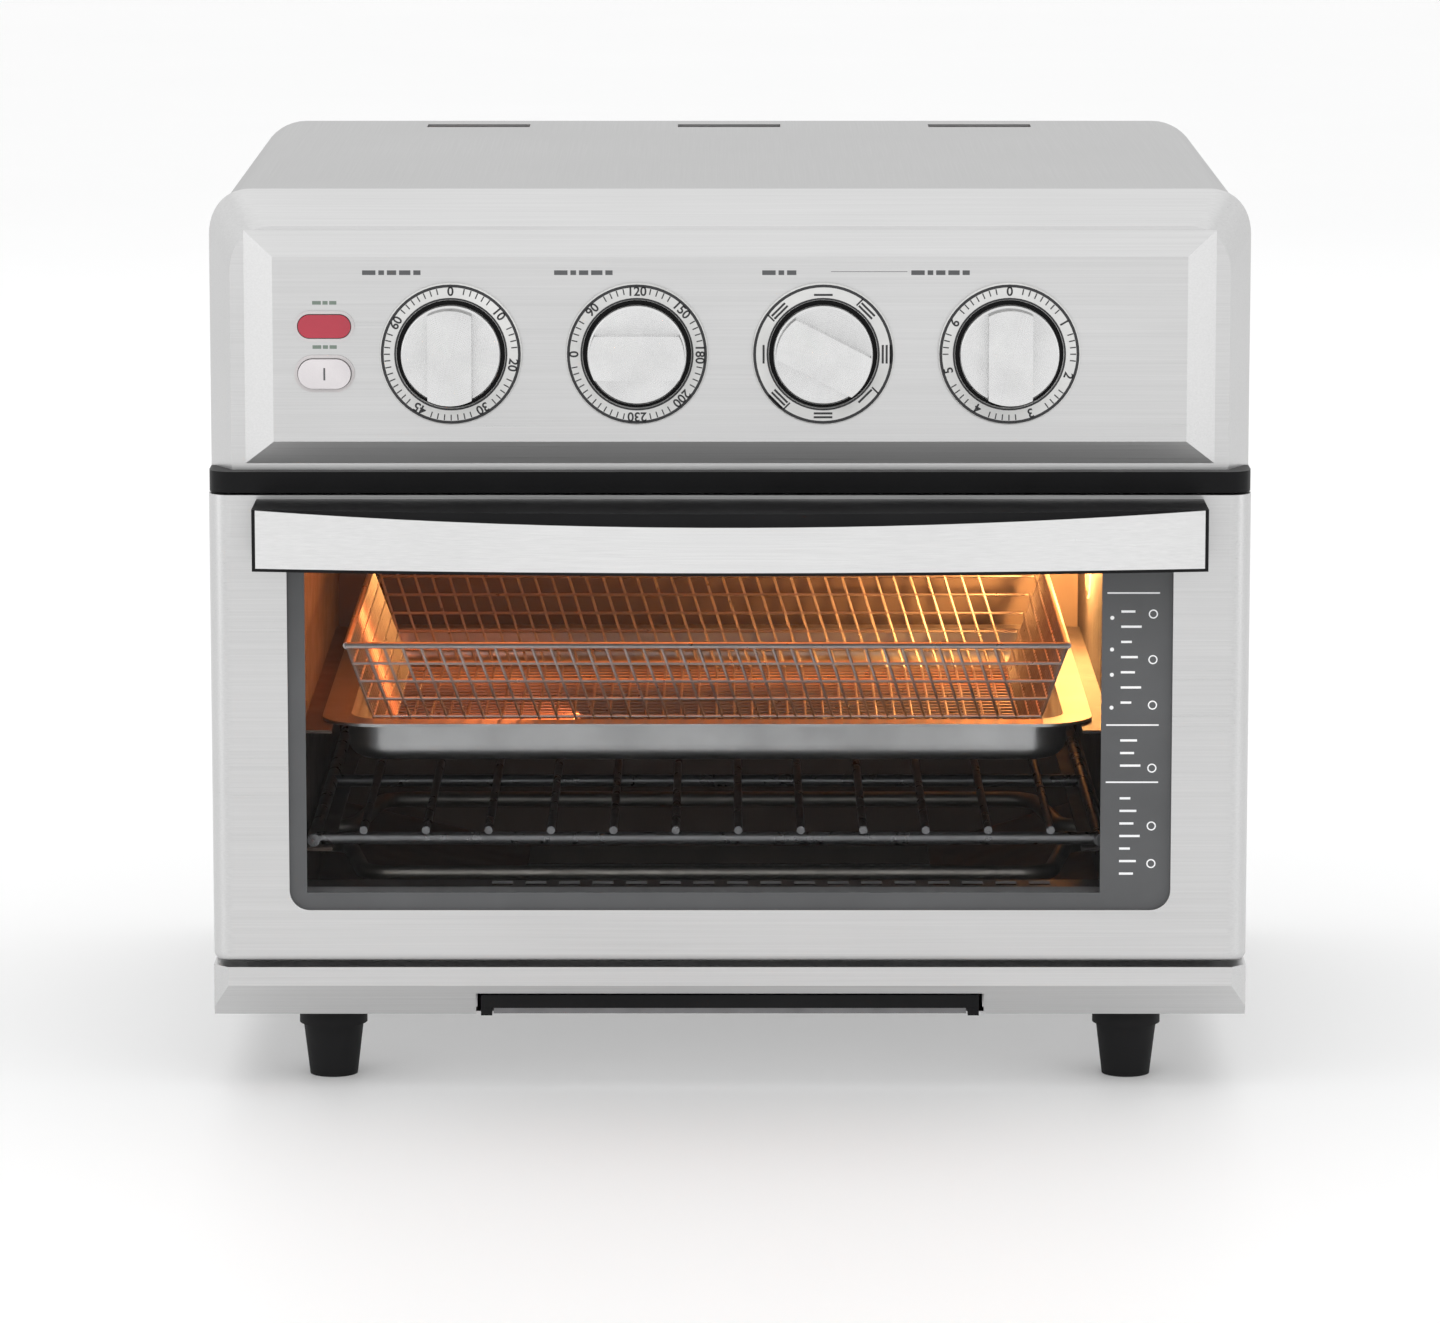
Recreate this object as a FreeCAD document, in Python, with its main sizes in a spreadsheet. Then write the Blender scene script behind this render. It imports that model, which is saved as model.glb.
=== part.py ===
"""Counter-top toaster oven with a drop-down glass door, four dials, a convection fan in its
roof, a mesh basket on a baking pan, a wire rack and a crumb tray.

Millimetres. +Z is up, the door faces -Y, and the origin is on the table under the middle of
the oven's outer box. Sizes are cells of the sheet "dims"; PLACES holds what follows from them.
"""
import FreeCAD, Part
import Sketcher
import os
import re

SIZES = {
    # outer box
    "width": 406, "depth": 394, "height": 355,
    "handle_reach": 44, "spacer_length": 14,
    "sheet": 1, "shell": 2, "fit": 0.2, "run": 0.3, "slip": 0.05,
    "roof_corner": 20, "side_round": 9,
    # feet, base and skirt
    "foot_height": 27, "foot_flange": 13.5, "foot_lip": 6, "foot_neck": 12, "foot_tip": 9.5,
    "foot_inset_side": 45, "foot_inset_end": 40, "pan_flange": 12,
    "skirt_rise": 3.6, "skirt_height": 20.4, "skirt_chin": 12.9, "skirt_slope": 8,
    "skirt_corner": 6,
    # door
    "door_height": 185, "door_gap": 2, "door_thickness": 20, "door_lap": 2, "door_seal": 1.5,
    "window_margin": 30.4, "window_foot": 20.8, "window_head": 16, "window_corner": 8,
    "glass": 4, "glass_lap": 5, "liner_inset": 16, "liner_margin": 4, "liner_sheet": 1.2,
    "liner_lap": 2, "hinge_rise": 6, "hinge_inset": 6, "hinge_boss": 3, "pin_radius": 2,
    "arm_radius": 3.5, "arm_stand": 4, "arm_width": 4, "arm_gap": 1.5, "toe_round": 3,
    "spring_wire": 0.35, "spring_pitch": 0.55, "spring_coil": 2.6,
    # handle
    "handle_margin": 19, "handle_height": 24, "handle_drop": 1.5, "handle_wall": 5,
    "handle_web": 4, "handle_bow": 12, "plate": 2, "plate_edge": 1.5, "plate_dip": 5,
    # fascia, trim band and front frame
    "frame_sheet": 1.5, "frame_turn": 3.5, "band_gap": 0.8, "band_height": 8.2,
    "band_setback": 1, "brow_drop": 13, "panel_rise": 8, "panel_side": 14.5, "panel_top": 14.5,
    "panel_foot": 2.5, "panel_bevel": 11.5, "panel_bevel_drop": 9.5,
    "dish_slack": 1.4,
    # dials
    "dial_pitch": 72, "dial_lift": 46.4, "dial_radius": 27.5, "dial_bore": 21,
    "dial_rise": 2.5, "knob_radius": 19.2, "knob_gap": 0.8, "knob_disc": 6, "knob_reach": 17,
    "grip_width": 17, "shaft_radius": 3, "shaft_play": 1.2, "knob_socket": 10,
    "bracket_setback": 14, "bracket_sheet": 1.2, "bracket_overhang": 21, "bracket_drop": 31.4,
    "bracket_rise": 30.6, "bush_wall": 3, "control_half": 19, "control_depth": 40,
    "bracket_tab": 3, "bracket_lap": 2.5, "shaft_depth": 14, "terminal_reach": 6,
    "terminal": 0.8, "bulb_radius": 2.5, "bulb_drop": 12,
    # lens and light button
    "pill_inset": 46, "lens_lift": 10.6, "button_drop": 7.8, "pill_length": 20.4,
    "lens_tall": 9, "lens_reach": 1, "button_tall": 11.4, "button_reach": 2.4,
    "bezel_width": 1.2, "bezel_rise": 0.8, "switch_half": 8, "switch_depth": 18,
    "button_depth": 8, "stem_half": 3, "stem_rise": 2, "switch_travel": 6,
    # oven cavity
    "left_room": 34, "right_room": 52, "rear_room": 33, "roof_drop": 12, "mouth_drop": 1,
    "sill_rise": 26, "wing_rise": 28, "wing_foot": 10, "drop_edge": 1, "drop_lip": 6,
    "sill_depth": 15, "slot_shift": 25.3, "slot_pitch": 13.3, "slot_width": 8.3, "slot_depth": 8,
    "ledge_depth": 12, "ledge_sheet": 1.2, "ledge_gap": 16, "rack_rise": 41, "pan_rise": 88.1,
    # what slides in it
    "rack_wire": 1.6, "rack_rim": 2.5, "rack_pitch": 24.7, "rack_weld": 0.5,
    "rack_front": 26, "rack_side_gap": 2, "rack_end_gap": 11,
    "pan_side_gap": 7, "pan_rim": 10, "pan_front": 31, "pan_end_gap": 20, "pan_height": 17,
    "pan_sheet": 1.2, "pan_corner": 22, "pan_foot_round": 7,
    "basket_gap": 9, "basket_end_gap": 7, "basket_taper": 15, "basket_rise": 32.9,
    "basket_mesh": 1.6,
    "tray_half": 93, "tray_rise": 7, "tray_sheet": 0.8, "tray_wall": 5.4,
    "tray_end_gap": 43, "tray_lip_rise": 2.2, "tray_lip_drop": 2.6, "tray_lip_set": 5,
    "notch_gap": 7, "notch_rise": 6, "runner_wall": 1.5, "runner_ledge": 5,
    # heaters and lamp
    "heater_radius": 3.2, "upper_drop": 14, "lower_rise": 20, "heater_tail": 16,
    "heater_hole": 5, "heater_inset": 38, "heater_pair": 24, "heater_back": 30,
    "insulator_radius": 7, "insulator_length": 8, "heater_bend": 12, "heater_lead": 12,
    "heater_slant": 10, "lower_front": 80, "lower_back": 57, "heater_end_gap": 36,
    "lamp_radius": 18, "lamp_drop": 40, "lamp_setback": 90, "lamp_cup": 33, "lamp_flange": 6,
    "lens_rim": 3, "lens_lip": 1, "bulb": 8, "bulb_gap": 3, "bulb_round": 6, "holder_radius": 7,
    "holder_wall": 1.5,
    # fan
    "fan_shift": 5, "fan_mouth": 58, "plenum_radius": 66, "plenum_height": 32,
    "plenum_lip": 8, "grille_sheet": 1.2, "impeller_radius": 50, "impeller_height": 14,
    "impeller_gap": 6, "hub_radius": 8, "blade_sheet": 1.2, "cooler_radius": 36,
    "cooler_height": 10, "cooler_gap": 7, "motor_radius": 28, "motor_height": 36,
    "motor_cap": 6, "grille_web": 4, "grille_slot": 6, "shaft_room": 1,
    "bridge_height": 22, "bridge_half": 46, "bridge_width": 30,
    # back
    "vent_length": 44, "vent_slot": 5, "vent_pitch": 12, "vent_gap": 16, "louvre_rise": 130,
    "side_vent_rise": 150, "side_vent_inset": 40, "roof_vent_width": 14,
    "roof_vent_inset": 24, "roof_vent_spread": 107.5, "rim_flange": 10, "screw_radius": 1.7,
    "screw_head": 3.6, "screw_rise": 2, "screw_length": 7, "spacer_half": 9,
    "spacer_spread": 120, "spacer_drop": 55, "gland_radius": 9, "gland_bore": 4,
    "gland_inset": 53, "gland_rise": 66, "gland_reach": 5,
}
PLACES = {
    "half": "width / 2",
    "front": "-depth / 2 + handle_reach",
    "rear": "depth / 2 - spacer_length",
    "inner_half": "half - sheet",
    # levels, from the table up
    "skirt_bottom": "foot_height + skirt_rise",
    "skirt_break": "skirt_bottom + skirt_chin",
    "skirt_top": "skirt_bottom + skirt_height",
    "door_bottom": "skirt_top + door_gap",
    "door_top": "door_bottom + door_height",
    "band_bottom": "door_top + band_gap",
    "fascia_bottom": "band_bottom + band_height",
    "dial_height": "fascia_bottom + dial_lift",
    "lens_height": "dial_height + lens_lift",
    "button_height": "dial_height - button_drop",
    "tray_level": "foot_height + tray_rise",
    "notch_top": "tray_level + notch_rise",
    "wing_bottom": "tray_level + wing_foot",
    "wing_top": "tray_level + wing_rise",
    "cavity_sill": "door_bottom + sill_rise",
    "cavity_top": "door_top - roof_drop",
    "rack_level": "door_bottom + rack_rise",
    "pan_level": "door_bottom + pan_rise",
    "pan_top": "pan_level + run + pan_sheet",
    "pan_bottom": "pan_top - pan_height",
    "basket_top": "pan_level + basket_rise",
    "lower_heater": "door_bottom + lower_rise",
    "upper_heater": "cavity_top - upper_drop",
    "lamp_height": "cavity_top - lamp_drop",
    # door and handle
    "axis_y": "front + hinge_inset",
    "axis_z": "door_bottom + hinge_rise",
    "door_back": "front + door_thickness - door_lap",
    "window_half": "half - window_margin",
    "window_bottom": "door_bottom + window_foot",
    "window_top": "door_top - window_head",
    "glass_front": "front + shell + fit",
    "glass_back": "glass_front + glass",
    "liner_front": "glass_back + fit",
    "liner_back": "front + door_thickness",
    "liner_half": "half - liner_inset",
    "arm_inner": "liner_half + arm_stand",
    "arm_outer": "arm_inner + arm_width",
    "pin_end": "half - shell - hinge_boss",
    "handle_half": "half - handle_margin",
    "handle_top": "door_top - handle_drop",
    "handle_bottom": "handle_top - handle_height",
    "bow_radius": "(handle_half ^ 2 + handle_bow ^ 2) / (2 * handle_bow)",
    "bow_centre": "front - handle_reach + bow_radius",
    "plate_half": "handle_half - plate_edge",
    "dip_radius": "(plate_half ^ 2 + plate_dip ^ 2) / (2 * plate_dip)",
    # fascia, frame and controls
    "frame_front": "front + door_thickness + door_seal",
    "frame_back": "frame_front + frame_sheet",
    "wrap_front": "frame_front + frame_turn",
    "step_y": "front + panel_rise",
    "pill_side": "half - pill_inset",
    "bracket_front": "front + bracket_setback",
    "bracket_back": "bracket_front + bracket_sheet",
    "bracket_low": "dial_height - bracket_drop",
    "bracket_high": "dial_height + bracket_rise",
    "bracket_left": "-(pill_side) - bracket_overhang",
    "bracket_right": "1.5 * dial_pitch + 2 * bracket_overhang",
    "bushing": "shaft_radius + bush_wall",
    "shaft_hole": "shaft_radius + shaft_play",
    "shaft_end": "bracket_back + shaft_depth",
    # cavity and what is in it
    "cavity_left_x": "left_room - half",
    "cavity_right_x": "half - right_room",
    "cavity_half": "(cavity_right_x - cavity_left_x) / 2",
    "cavity_shift": "(cavity_right_x + cavity_left_x) / 2",
    "cavity_back": "rear - rear_room",
    "cavity_depth": "cavity_back - frame_back",
    "bulb_length": "cavity_depth / 3",
    "fan_place": "(frame_back + cavity_back) / 2 + fan_shift",
    "lamp_place": "cavity_back - lamp_setback",
    "drop_half": "tray_half - drop_edge",
    "notch_half": "tray_half + notch_gap",
    "rack_start": "front + rack_front",
    "rack_depth": "cavity_back - rack_end_gap - rack_start",
    "pan_half": "cavity_half - pan_side_gap",
    "pan_start": "front + pan_front",
    "pan_length": "cavity_back - pan_end_gap - pan_start",
    "basket_half": "pan_half - basket_gap",
    "tray_front": "front + tray_lip_set",
    "tray_length": "cavity_back - tray_end_gap - tray_front",
    "front_run": "front + lower_front",
    "rear_run": "cavity_back - lower_back",
    "heater_run": "(rear_run - front_run - heater_end_gap) / 2",
    "lower_front_end": "front_run + heater_run",
    "lower_rear_end": "rear_run - heater_run",
    "fan_x": "cavity_shift",
    "plenum_top": "cavity_top + sheet + plenum_height",
    "impeller_top": "plenum_top - sheet - impeller_gap",
    "bridge_top": "plenum_top + bridge_height",
    # back
    "roof_vent_y": "rear - roof_vent_inset",
    "gland_side": "half - gland_inset",
    "spacer_rise": "height - spacer_drop",
}
HIDDEN = 1  # how far a cutting tool runs past the face it starts at

# how many of each
SIDE_SLOTS, LOUVRES, SILL_SLOTS, GRILLE_SLOTS = 7, 11, 17, 12
RACK_WIRES, SPRING_TURNS, IMPELLER_BLADES, COOLER_BLADES = 12, 4, 10, 7

doc = FreeCAD.newDocument("toaster_oven")
sheet = doc.addObject("Spreadsheet::Sheet", "dims")
for row, (alias, value) in enumerate(SIZES.items(), 1):
    sheet.set(f"A{row}", alias.replace("_", " "))
    sheet.set(f"B{row}", str(value))
    sheet.setAlias(f"B{row}", alias)
doc.recompute()


def sized(text):
    """An expression on the sheet, from one written in the names of sizes and places."""
    def swap(found):
        word = found.group()
        if word in PLACES:
            return f"({sized(PLACES[word])})"
        return f"dims.{word}" if word in SIZES else word
    return re.sub(r"[a-z_]+", swap, str(text))


def mm(text):
    """The value of such an expression."""
    return float(sheet.evalExpression(sized(text)))


def bind(thing, **sizes):
    for name, text in sizes.items():
        thing.setExpression(name.replace("__", "."), sized(text))
    return thing


# ---- solids whose places and sizes follow the sheet

def box(x, y, z):
    """A block between two corners, each of x, y and z a pair (low, high)."""
    block = doc.addObject("Part::Box", "block")
    spans = {"Length": x, "Width": y, "Height": z}
    for (name, (low, high)), way in zip(spans.items(), "xyz"):
        block.setExpression(f"Placement.Base.{way}", sized(low))
        block.setExpression(name, sized(f"({high}) - ({low})"))
    return block


def across(half_width, centre="0"):
    """The pair (low, high) this far each side of a centre."""
    return f"({centre}) - ({half_width})", f"({centre}) + ({half_width})"


TURNS = {
    "x": FreeCAD.Rotation(FreeCAD.Vector(0, 1, 0), 90),
    "y": FreeCAD.Rotation(FreeCAD.Vector(1, 0, 0), -90),
    "z": FreeCAD.Rotation(),
}


def turned(kind, axis, x, y, z):
    """A round primitive that starts at a point and runs along a row axis."""
    thing = doc.addObject(kind, kind.split("::")[1].lower())
    thing.Placement = FreeCAD.Placement(FreeCAD.Vector(), TURNS[axis])
    for way, text in zip("xyz", (x, y, z)):
        thing.setExpression(f"Placement.Base.{way}", sized(text))
    return thing


def rod(axis, radius, x, y, z, length):
    return bind(turned("Part::Cylinder", axis, x, y, z), Radius=radius, Height=length)


def cone(axis, radius, far_radius, x, y, z, length):
    thing = turned("Part::Cone", axis, x, y, z)
    return bind(thing, Radius1=radius, Radius2=far_radius, Height=length)


def hoop(axis, coil, wire, x, y, z):
    return bind(turned("Part::Torus", axis, x, y, z), Radius1=coil, Radius2=wire)


def ball(radius, x, y, z):
    return bind(turned("Part::Sphere", "z", x, y, z), Radius=radius)


def frustum(near_x, near_z, near_y, far_x, far_z, far_y):
    """A block along Y whose near and far faces differ in size."""
    wedge = doc.addObject("Part::Wedge", "wedge")
    limits = {"Xmin": near_x[0], "Xmax": near_x[1], "Zmin": near_z[0], "Zmax": near_z[1],
              "X2min": far_x[0], "X2max": far_x[1], "Z2min": far_z[0], "Z2max": far_z[1],
              "Ymin": near_y, "Ymax": far_y}
    # the sheet is followed only after the wedge has a real size
    for name in sorted(limits, key=lambda n: "min" in n):
        setattr(wedge, name, mm(limits[name]))
    return bind(wedge, **limits)


def fuse(*things):
    joined = doc.addObject("Part::MultiFuse", "joined")
    joined.Shapes = list(things)
    joined.Refine = True
    return joined


def group(*things):
    """Separate solids that share a node."""
    several = doc.addObject("Part::Compound", "several")
    several.Links = list(things)
    return several


def cut(base, *tools):
    rest = doc.addObject("Part::Cut", "rest")
    rest.Base = base
    rest.Tool = tools[0] if len(tools) == 1 else fuse(*tools)
    return rest


def common(*things):
    shared = doc.addObject("Part::MultiCommon", "shared")
    shared.Shapes = list(things)
    return shared


def ring(axis, radius, bore, x, y, z, length):
    """A tube, its bore cut right through."""
    start = {"x": x, "y": y, "z": z}
    start[axis] = f"({start[axis]}) - {HIDDEN}"
    hole = rod(axis, bore, *start.values(), f"({length}) + {2 * HIDDEN}")
    return cut(rod(axis, radius, x, y, z, length), hole)


def rounded(base, radius, picks):
    """Rounds each edge of base that picks says yes to."""
    doc.recompute()
    edges = [n for n, edge in enumerate(base.Shape.Edges, 1) if picks(edge)]
    assert edges, f"{base.Name} has no such edge to round"
    fillet = doc.addObject("Part::Fillet", "rounded")
    fillet.Base = base
    fillet.Edges = [(n, mm(radius), mm(radius)) for n in edges]
    return fillet


def runs(edge, way):
    """Whether a straight edge runs along a row axis."""
    size = edge.BoundBox
    spans = {"x": size.XLength, "y": size.YLength, "z": size.ZLength}
    others = [span for name, span in spans.items() if name != way]
    return spans[way] > 1e-3 and max(others) < 1e-3


def near(value, text):
    return abs(value - mm(text)) < 1e-3


def pill(x, z, length, tall, start, end):
    """A bar along Y with a round-ended section, wider than it is tall."""
    straight = f"(({length}) - ({tall})) / 2"
    middle = box(across(straight, x), (start, end), across(f"({tall}) / 2", z))
    caps = [rod("y", f"({tall}) / 2", f"({x}) {sign} {straight}", start, z,
                f"({end}) - ({start})") for sign in "+-"]
    return fuse(middle, *caps)


def bent_rod(name, points, radius, bend):
    """A round bar along straight runs joined by arcs; it follows the sheet in code."""
    spots = [FreeCAD.Vector(*(mm(p) for p in point)) for point in points]
    bend, radius = mm(bend), mm(radius)
    edges, last = [], spots[0]
    for before, corner, after in zip(spots, spots[1:], spots[2:]):
        back, ahead = (before - corner).normalize(), (after - corner).normalize()
        reach = bend / _tan_half(back, ahead)
        start, end = corner + back * reach, corner + ahead * reach
        way = (back + ahead).normalize()
        centre = corner + way * (bend ** 2 + reach ** 2) ** 0.5
        edges.append(Part.LineSegment(last, start).toShape())
        edges.append(Part.Arc(start, centre - way * bend, end).toShape())
        last = end
    edges.append(Part.LineSegment(last, spots[-1]).toShape())
    path = Part.Wire(edges)
    section = Part.Wire(Part.Circle(spots[0], spots[1] - spots[0], radius).toShape())
    bar = doc.addObject("Part::Feature", name)
    bar.Shape = path.makePipeShell([section], True, False)
    return bar


def _tan_half(back, ahead):
    """Tangent of half the angle between two runs that meet at a corner."""
    cosine = back.dot(ahead)
    return ((1 - cosine) / (1 + cosine)) ** 0.5


# ---- sketched bodies

def sketch(body, role, rise="0"):
    """A sketch on one of the body's own planes, moved along its normal."""
    outline = body.newObject("Sketcher::SketchObject", "outline")
    base = next(f for f in body.Origin.OriginFeatures if f.Role == role)
    outline.AttachmentSupport = [(base, "")]
    outline.MapMode = "FlatFace"
    outline.setExpression("AttachmentOffset.Base.z", sized(rise))
    return outline


def hold(outline, kind, *place, size):
    """A dimension of a sketch that follows the sheet."""
    number = outline.addConstraint(Sketcher.Constraint(kind, *place, mm(size)))
    outline.setExpression(f"Constraints[{number}]", sized(size))


def polygon(outline, points):
    """A closed outline; each point is a pair of expressions."""
    flat = [FreeCAD.Vector(mm(u), mm(v), 0) for u, v in points]
    first = outline.GeometryCount
    count = len(flat)
    for n in range(count):
        outline.addGeometry(Part.LineSegment(flat[n], flat[(n + 1) % count]), False)
    for n in range(count):
        following = first + (n + 1) % count
        outline.addConstraint(Sketcher.Constraint("Coincident", first + n, 2, following, 1))
    for n, (u, v) in enumerate(points):
        hold(outline, "DistanceX", -1, 1, first + n, 1, size=u)
        hold(outline, "DistanceY", -1, 1, first + n, 1, size=v)


def rectangle(outline, u, v):
    polygon(outline, [(u[0], v[0]), (u[1], v[0]), (u[1], v[1]), (u[0], v[1])])


def circle(outline, u, v, radius):
    middle = FreeCAD.Vector(mm(u), mm(v), 0)
    number = outline.addGeometry(Part.Circle(middle, FreeCAD.Vector(0, 0, 1), mm(radius)), False)
    hold(outline, "DistanceX", -1, 1, number, 3, size=u)
    hold(outline, "DistanceY", -1, 1, number, 3, size=v)
    hold(outline, "Radius", number, size=radius)


def feature(body, kind, outline, **settings):
    """A feature made from a sketch: numbers and flags are set, text follows the sheet."""
    made = body.newObject(f"PartDesign::{kind}", kind.lower())
    made.Profile = outline
    for name, value in settings.items():
        if isinstance(value, str):
            made.setExpression(name, sized(value))
        else:
            setattr(made, name, value)
    outline.Visibility = False
    return made


def new_body(name):
    return doc.addObject("PartDesign::Body", name)


def softened(body, radius, picks):
    """A fillet in a body, on each edge that picks says yes to."""
    doc.recompute()
    tip = body.Tip
    edges = [f"Edge{n}" for n, edge in enumerate(tip.Shape.Edges, 1) if picks(edge)]
    assert edges, f"{body.Name} has no such edge to round"
    fillet = body.newObject("PartDesign::Fillet", "fillet")
    fillet.Base = (tip, edges)
    fillet.setExpression("Radius", sized(radius))
    return fillet


def polar(body, made, count):
    """Repeats a feature round the body's Z axis."""
    pattern = body.newObject("PartDesign::PolarPattern", "pattern")
    pattern.Originals = [made]
    pattern.Axis = (next(f for f in body.Origin.OriginFeatures if f.Role == "Z_Axis"), [""])
    pattern.Occurrences = count
    pattern.Angle = 360
    body.Tip = pattern
    return pattern


def linear(body, made, role, count, length):
    """Repeats a feature along one of the body's axes, over a length."""
    pattern = body.newObject("PartDesign::LinearPattern", "pattern")
    pattern.Originals = [made]
    pattern.Direction = (next(f for f in body.Origin.OriginFeatures if f.Role == role), [""])
    pattern.Occurrences = count
    pattern.setExpression("Length", sized(length))
    body.Tip = pattern
    return pattern


NODES = {}


def node(name, thing):
    """Names a finished sub-part; the name is its label and its file."""
    thing.Label = name
    NODES[name] = thing


# ---- base, skirt and feet

def foot_places():
    for side in "+-":
        for end in ("front + foot_inset_end", "rear - foot_inset_end"):
            yield f"{side} (half - foot_inset_side)", end


def base_pan():
    floor = ("foot_height", "foot_height + sheet")
    length = ("wrap_front + fit", "rear - 2 * sheet - fit")
    wide = "inner_half - fit"
    plate = box(across(wide), length, floor)
    walls = [box(span, length, ("foot_height", "foot_height + pan_flange"))
             for span in ((f"-({wide})", f"-({wide}) + sheet"), (f"{wide} - sheet", wide))]
    rails = []
    for side in (1, -1):
        web = ("tray_half + runner_wall", "tray_half + 2 * runner_wall")
        ledge = ("tray_half - runner_ledge", "tray_half + 2 * runner_wall")
        run = ("wrap_front + fit", "tray_front + tray_length - runner_ledge")
        level = ("tray_level - run - sheet", "tray_level - run")
        if side < 0:
            web, ledge = [(f"-({hi})", f"-({lo})") for lo, hi in (web, ledge)]
        rails += [box(web, run, ("foot_height", "tray_level + tray_wall")), box(ledge, run, level)]
    node("base_pan", fuse(plate, *walls, *rails))


def front_skirt():
    body = new_body("skirt")
    outline = sketch(body, "YZ_Plane")
    polygon(outline, [("front", "skirt_top"), ("front", "skirt_break"),
                      ("front + skirt_slope", "skirt_bottom"), ("frame_front", "skirt_bottom"),
                      ("frame_front", "skirt_top")])
    feature(body, "Pad", outline, Length="width", Midplane=True)
    doc.recompute()
    tip = body.Tip
    chamfer = body.newObject("PartDesign::Chamfer", "corners")
    ends = [f"Edge{n}" for n, e in enumerate(tip.Shape.Edges, 1)
            if runs(e, "z") and near(e.BoundBox.YMin, "front")]
    chamfer.Base = (tip, ends)
    chamfer.setExpression("Size", sized("skirt_corner"))
    hollow = sketch(body, "YZ_Plane")
    polygon(hollow, [("front + shell", "skirt_top - shell"),
                     ("front + shell", "skirt_break + shell / 2"),
                     ("front + shell + skirt_slope", f"skirt_bottom - {HIDDEN}"),
                     (f"frame_front + {HIDDEN}", f"skirt_bottom - {HIDDEN}"),
                     (f"frame_front + {HIDDEN}", "skirt_top - shell")])
    feature(body, "Pocket", hollow, Length="width - 2 * side_round", Midplane=True)
    notch = sketch(body, "XZ_Plane", "-(front)")
    rectangle(notch, across("notch_half"), (f"skirt_bottom - {HIDDEN}", "notch_top"))
    feature(body, "Pocket", notch, Type=1, Reversed=False)
    node("front_skirt", body)


def feet():
    """Rubber feet: a flange under the base and a tapered neck down to the flat sole."""
    several = []
    for x, y in foot_places():
        lip = rod("z", "foot_flange", x, y, "foot_height - foot_lip", "foot_lip")
        neck = cone("z", "foot_tip", "foot_neck", x, y, "0", "foot_height - foot_lip")
        several.append(fuse(lip, neck))
    node("feet", group(*several))


# ---- outer casing

def outer_wrap():
    long = ("wrap_front", "rear")
    outer = rounded(box(across("half"), long, ("skirt_bottom", "height")), "roof_corner",
                    lambda e: runs(e, "y") and near(e.BoundBox.ZMax, "height"))
    past = (f"wrap_front - {HIDDEN}", "rear - 2 * sheet")
    inner = rounded(box(across("inner_half"), past, (f"skirt_bottom - {HIDDEN}", "height - sheet")),
                    "roof_corner - sheet",
                    lambda e: runs(e, "y") and near(e.BoundBox.ZMax, "height - sheet"))
    doorway = box(across("half - sheet - rim_flange"), ("rear - 3 * sheet", f"rear + {HIDDEN}"),
                  (f"skirt_bottom - {HIDDEN}", "height - sheet - rim_flange"))
    seat = rounded(box(across("inner_half"), ("rear - sheet", f"rear + {HIDDEN}"),
                       (f"skirt_bottom - {HIDDEN}", "height - sheet")), "roof_corner - sheet",
                   lambda e: runs(e, "y") and near(e.BoundBox.ZMax, "height - sheet"))
    vents = []
    for x in ("-(roof_vent_spread)", "0", "roof_vent_spread"):
        vents.append(box(across("vent_length / 2", x), across("roof_vent_width / 2", "roof_vent_y"),
                         ("height - 2 * sheet", f"height + {HIDDEN}")))
    slots = []
    for n in range(SIDE_SLOTS):
        y = f"rear - side_vent_inset - {n} * vent_pitch"
        slots.append(box(across(f"half + {HIDDEN}"), across("vent_slot / 2", y),
                         ("side_vent_rise", "side_vent_rise + vent_length")))
    screws = [rod("y", "screw_radius + slip", x, "rear - 3 * sheet", z, "4 * sheet")
              for x, z in screw_places()]
    node("outer_wrap", cut(outer, inner, doorway, seat, *vents, *slots, *screws))


def screw_places():
    """Where the back panel is screwed to the wrap's inward rim."""
    edge = "half - sheet - rim_flange / 2"
    for side in "+-":
        for z in ("door_bottom", "height / 2", "height - 2 * roof_corner"):
            yield f"{side} ({edge})", z
        yield f"{side} half / 2", "height - sheet - rim_flange / 2"


def back_panel():
    body = new_body("panel")
    outline = sketch(body, "XZ_Plane", "-(rear - sheet)")
    rectangle(outline, across("inner_half - fit"),
              ("skirt_bottom", "height - sheet - fit"))
    feature(body, "Pad", outline, Length="sheet", Reversed=True)
    softened(body, "roof_corner - sheet - fit",
             lambda e: runs(e, "y") and e.BoundBox.ZMax > mm("height - 2 * sheet"))
    holes = sketch(body, "XZ_Plane", "-(rear - sheet)")
    for x, z in screw_places():
        circle(holes, x, z, "screw_radius + slip")
    circle(holes, "gland_side", "gland_rise", "gland_radius - sheet")
    feature(body, "Pocket", holes, Type=1)
    slot = sketch(body, "XZ_Plane", "-(rear - sheet)")
    for step in (-1.5, -0.5, 0.5, 1.5):
        x = f"{step} * (vent_length + vent_gap)"
        rectangle(slot, across("vent_length / 2", x), across("vent_slot / 2", "louvre_rise"))
    louvres = feature(body, "Pocket", slot, Type=1)
    linear(body, louvres, "Z_Axis", LOUVRES, f"{LOUVRES - 1} * vent_pitch")
    node("back_panel", body)


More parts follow.
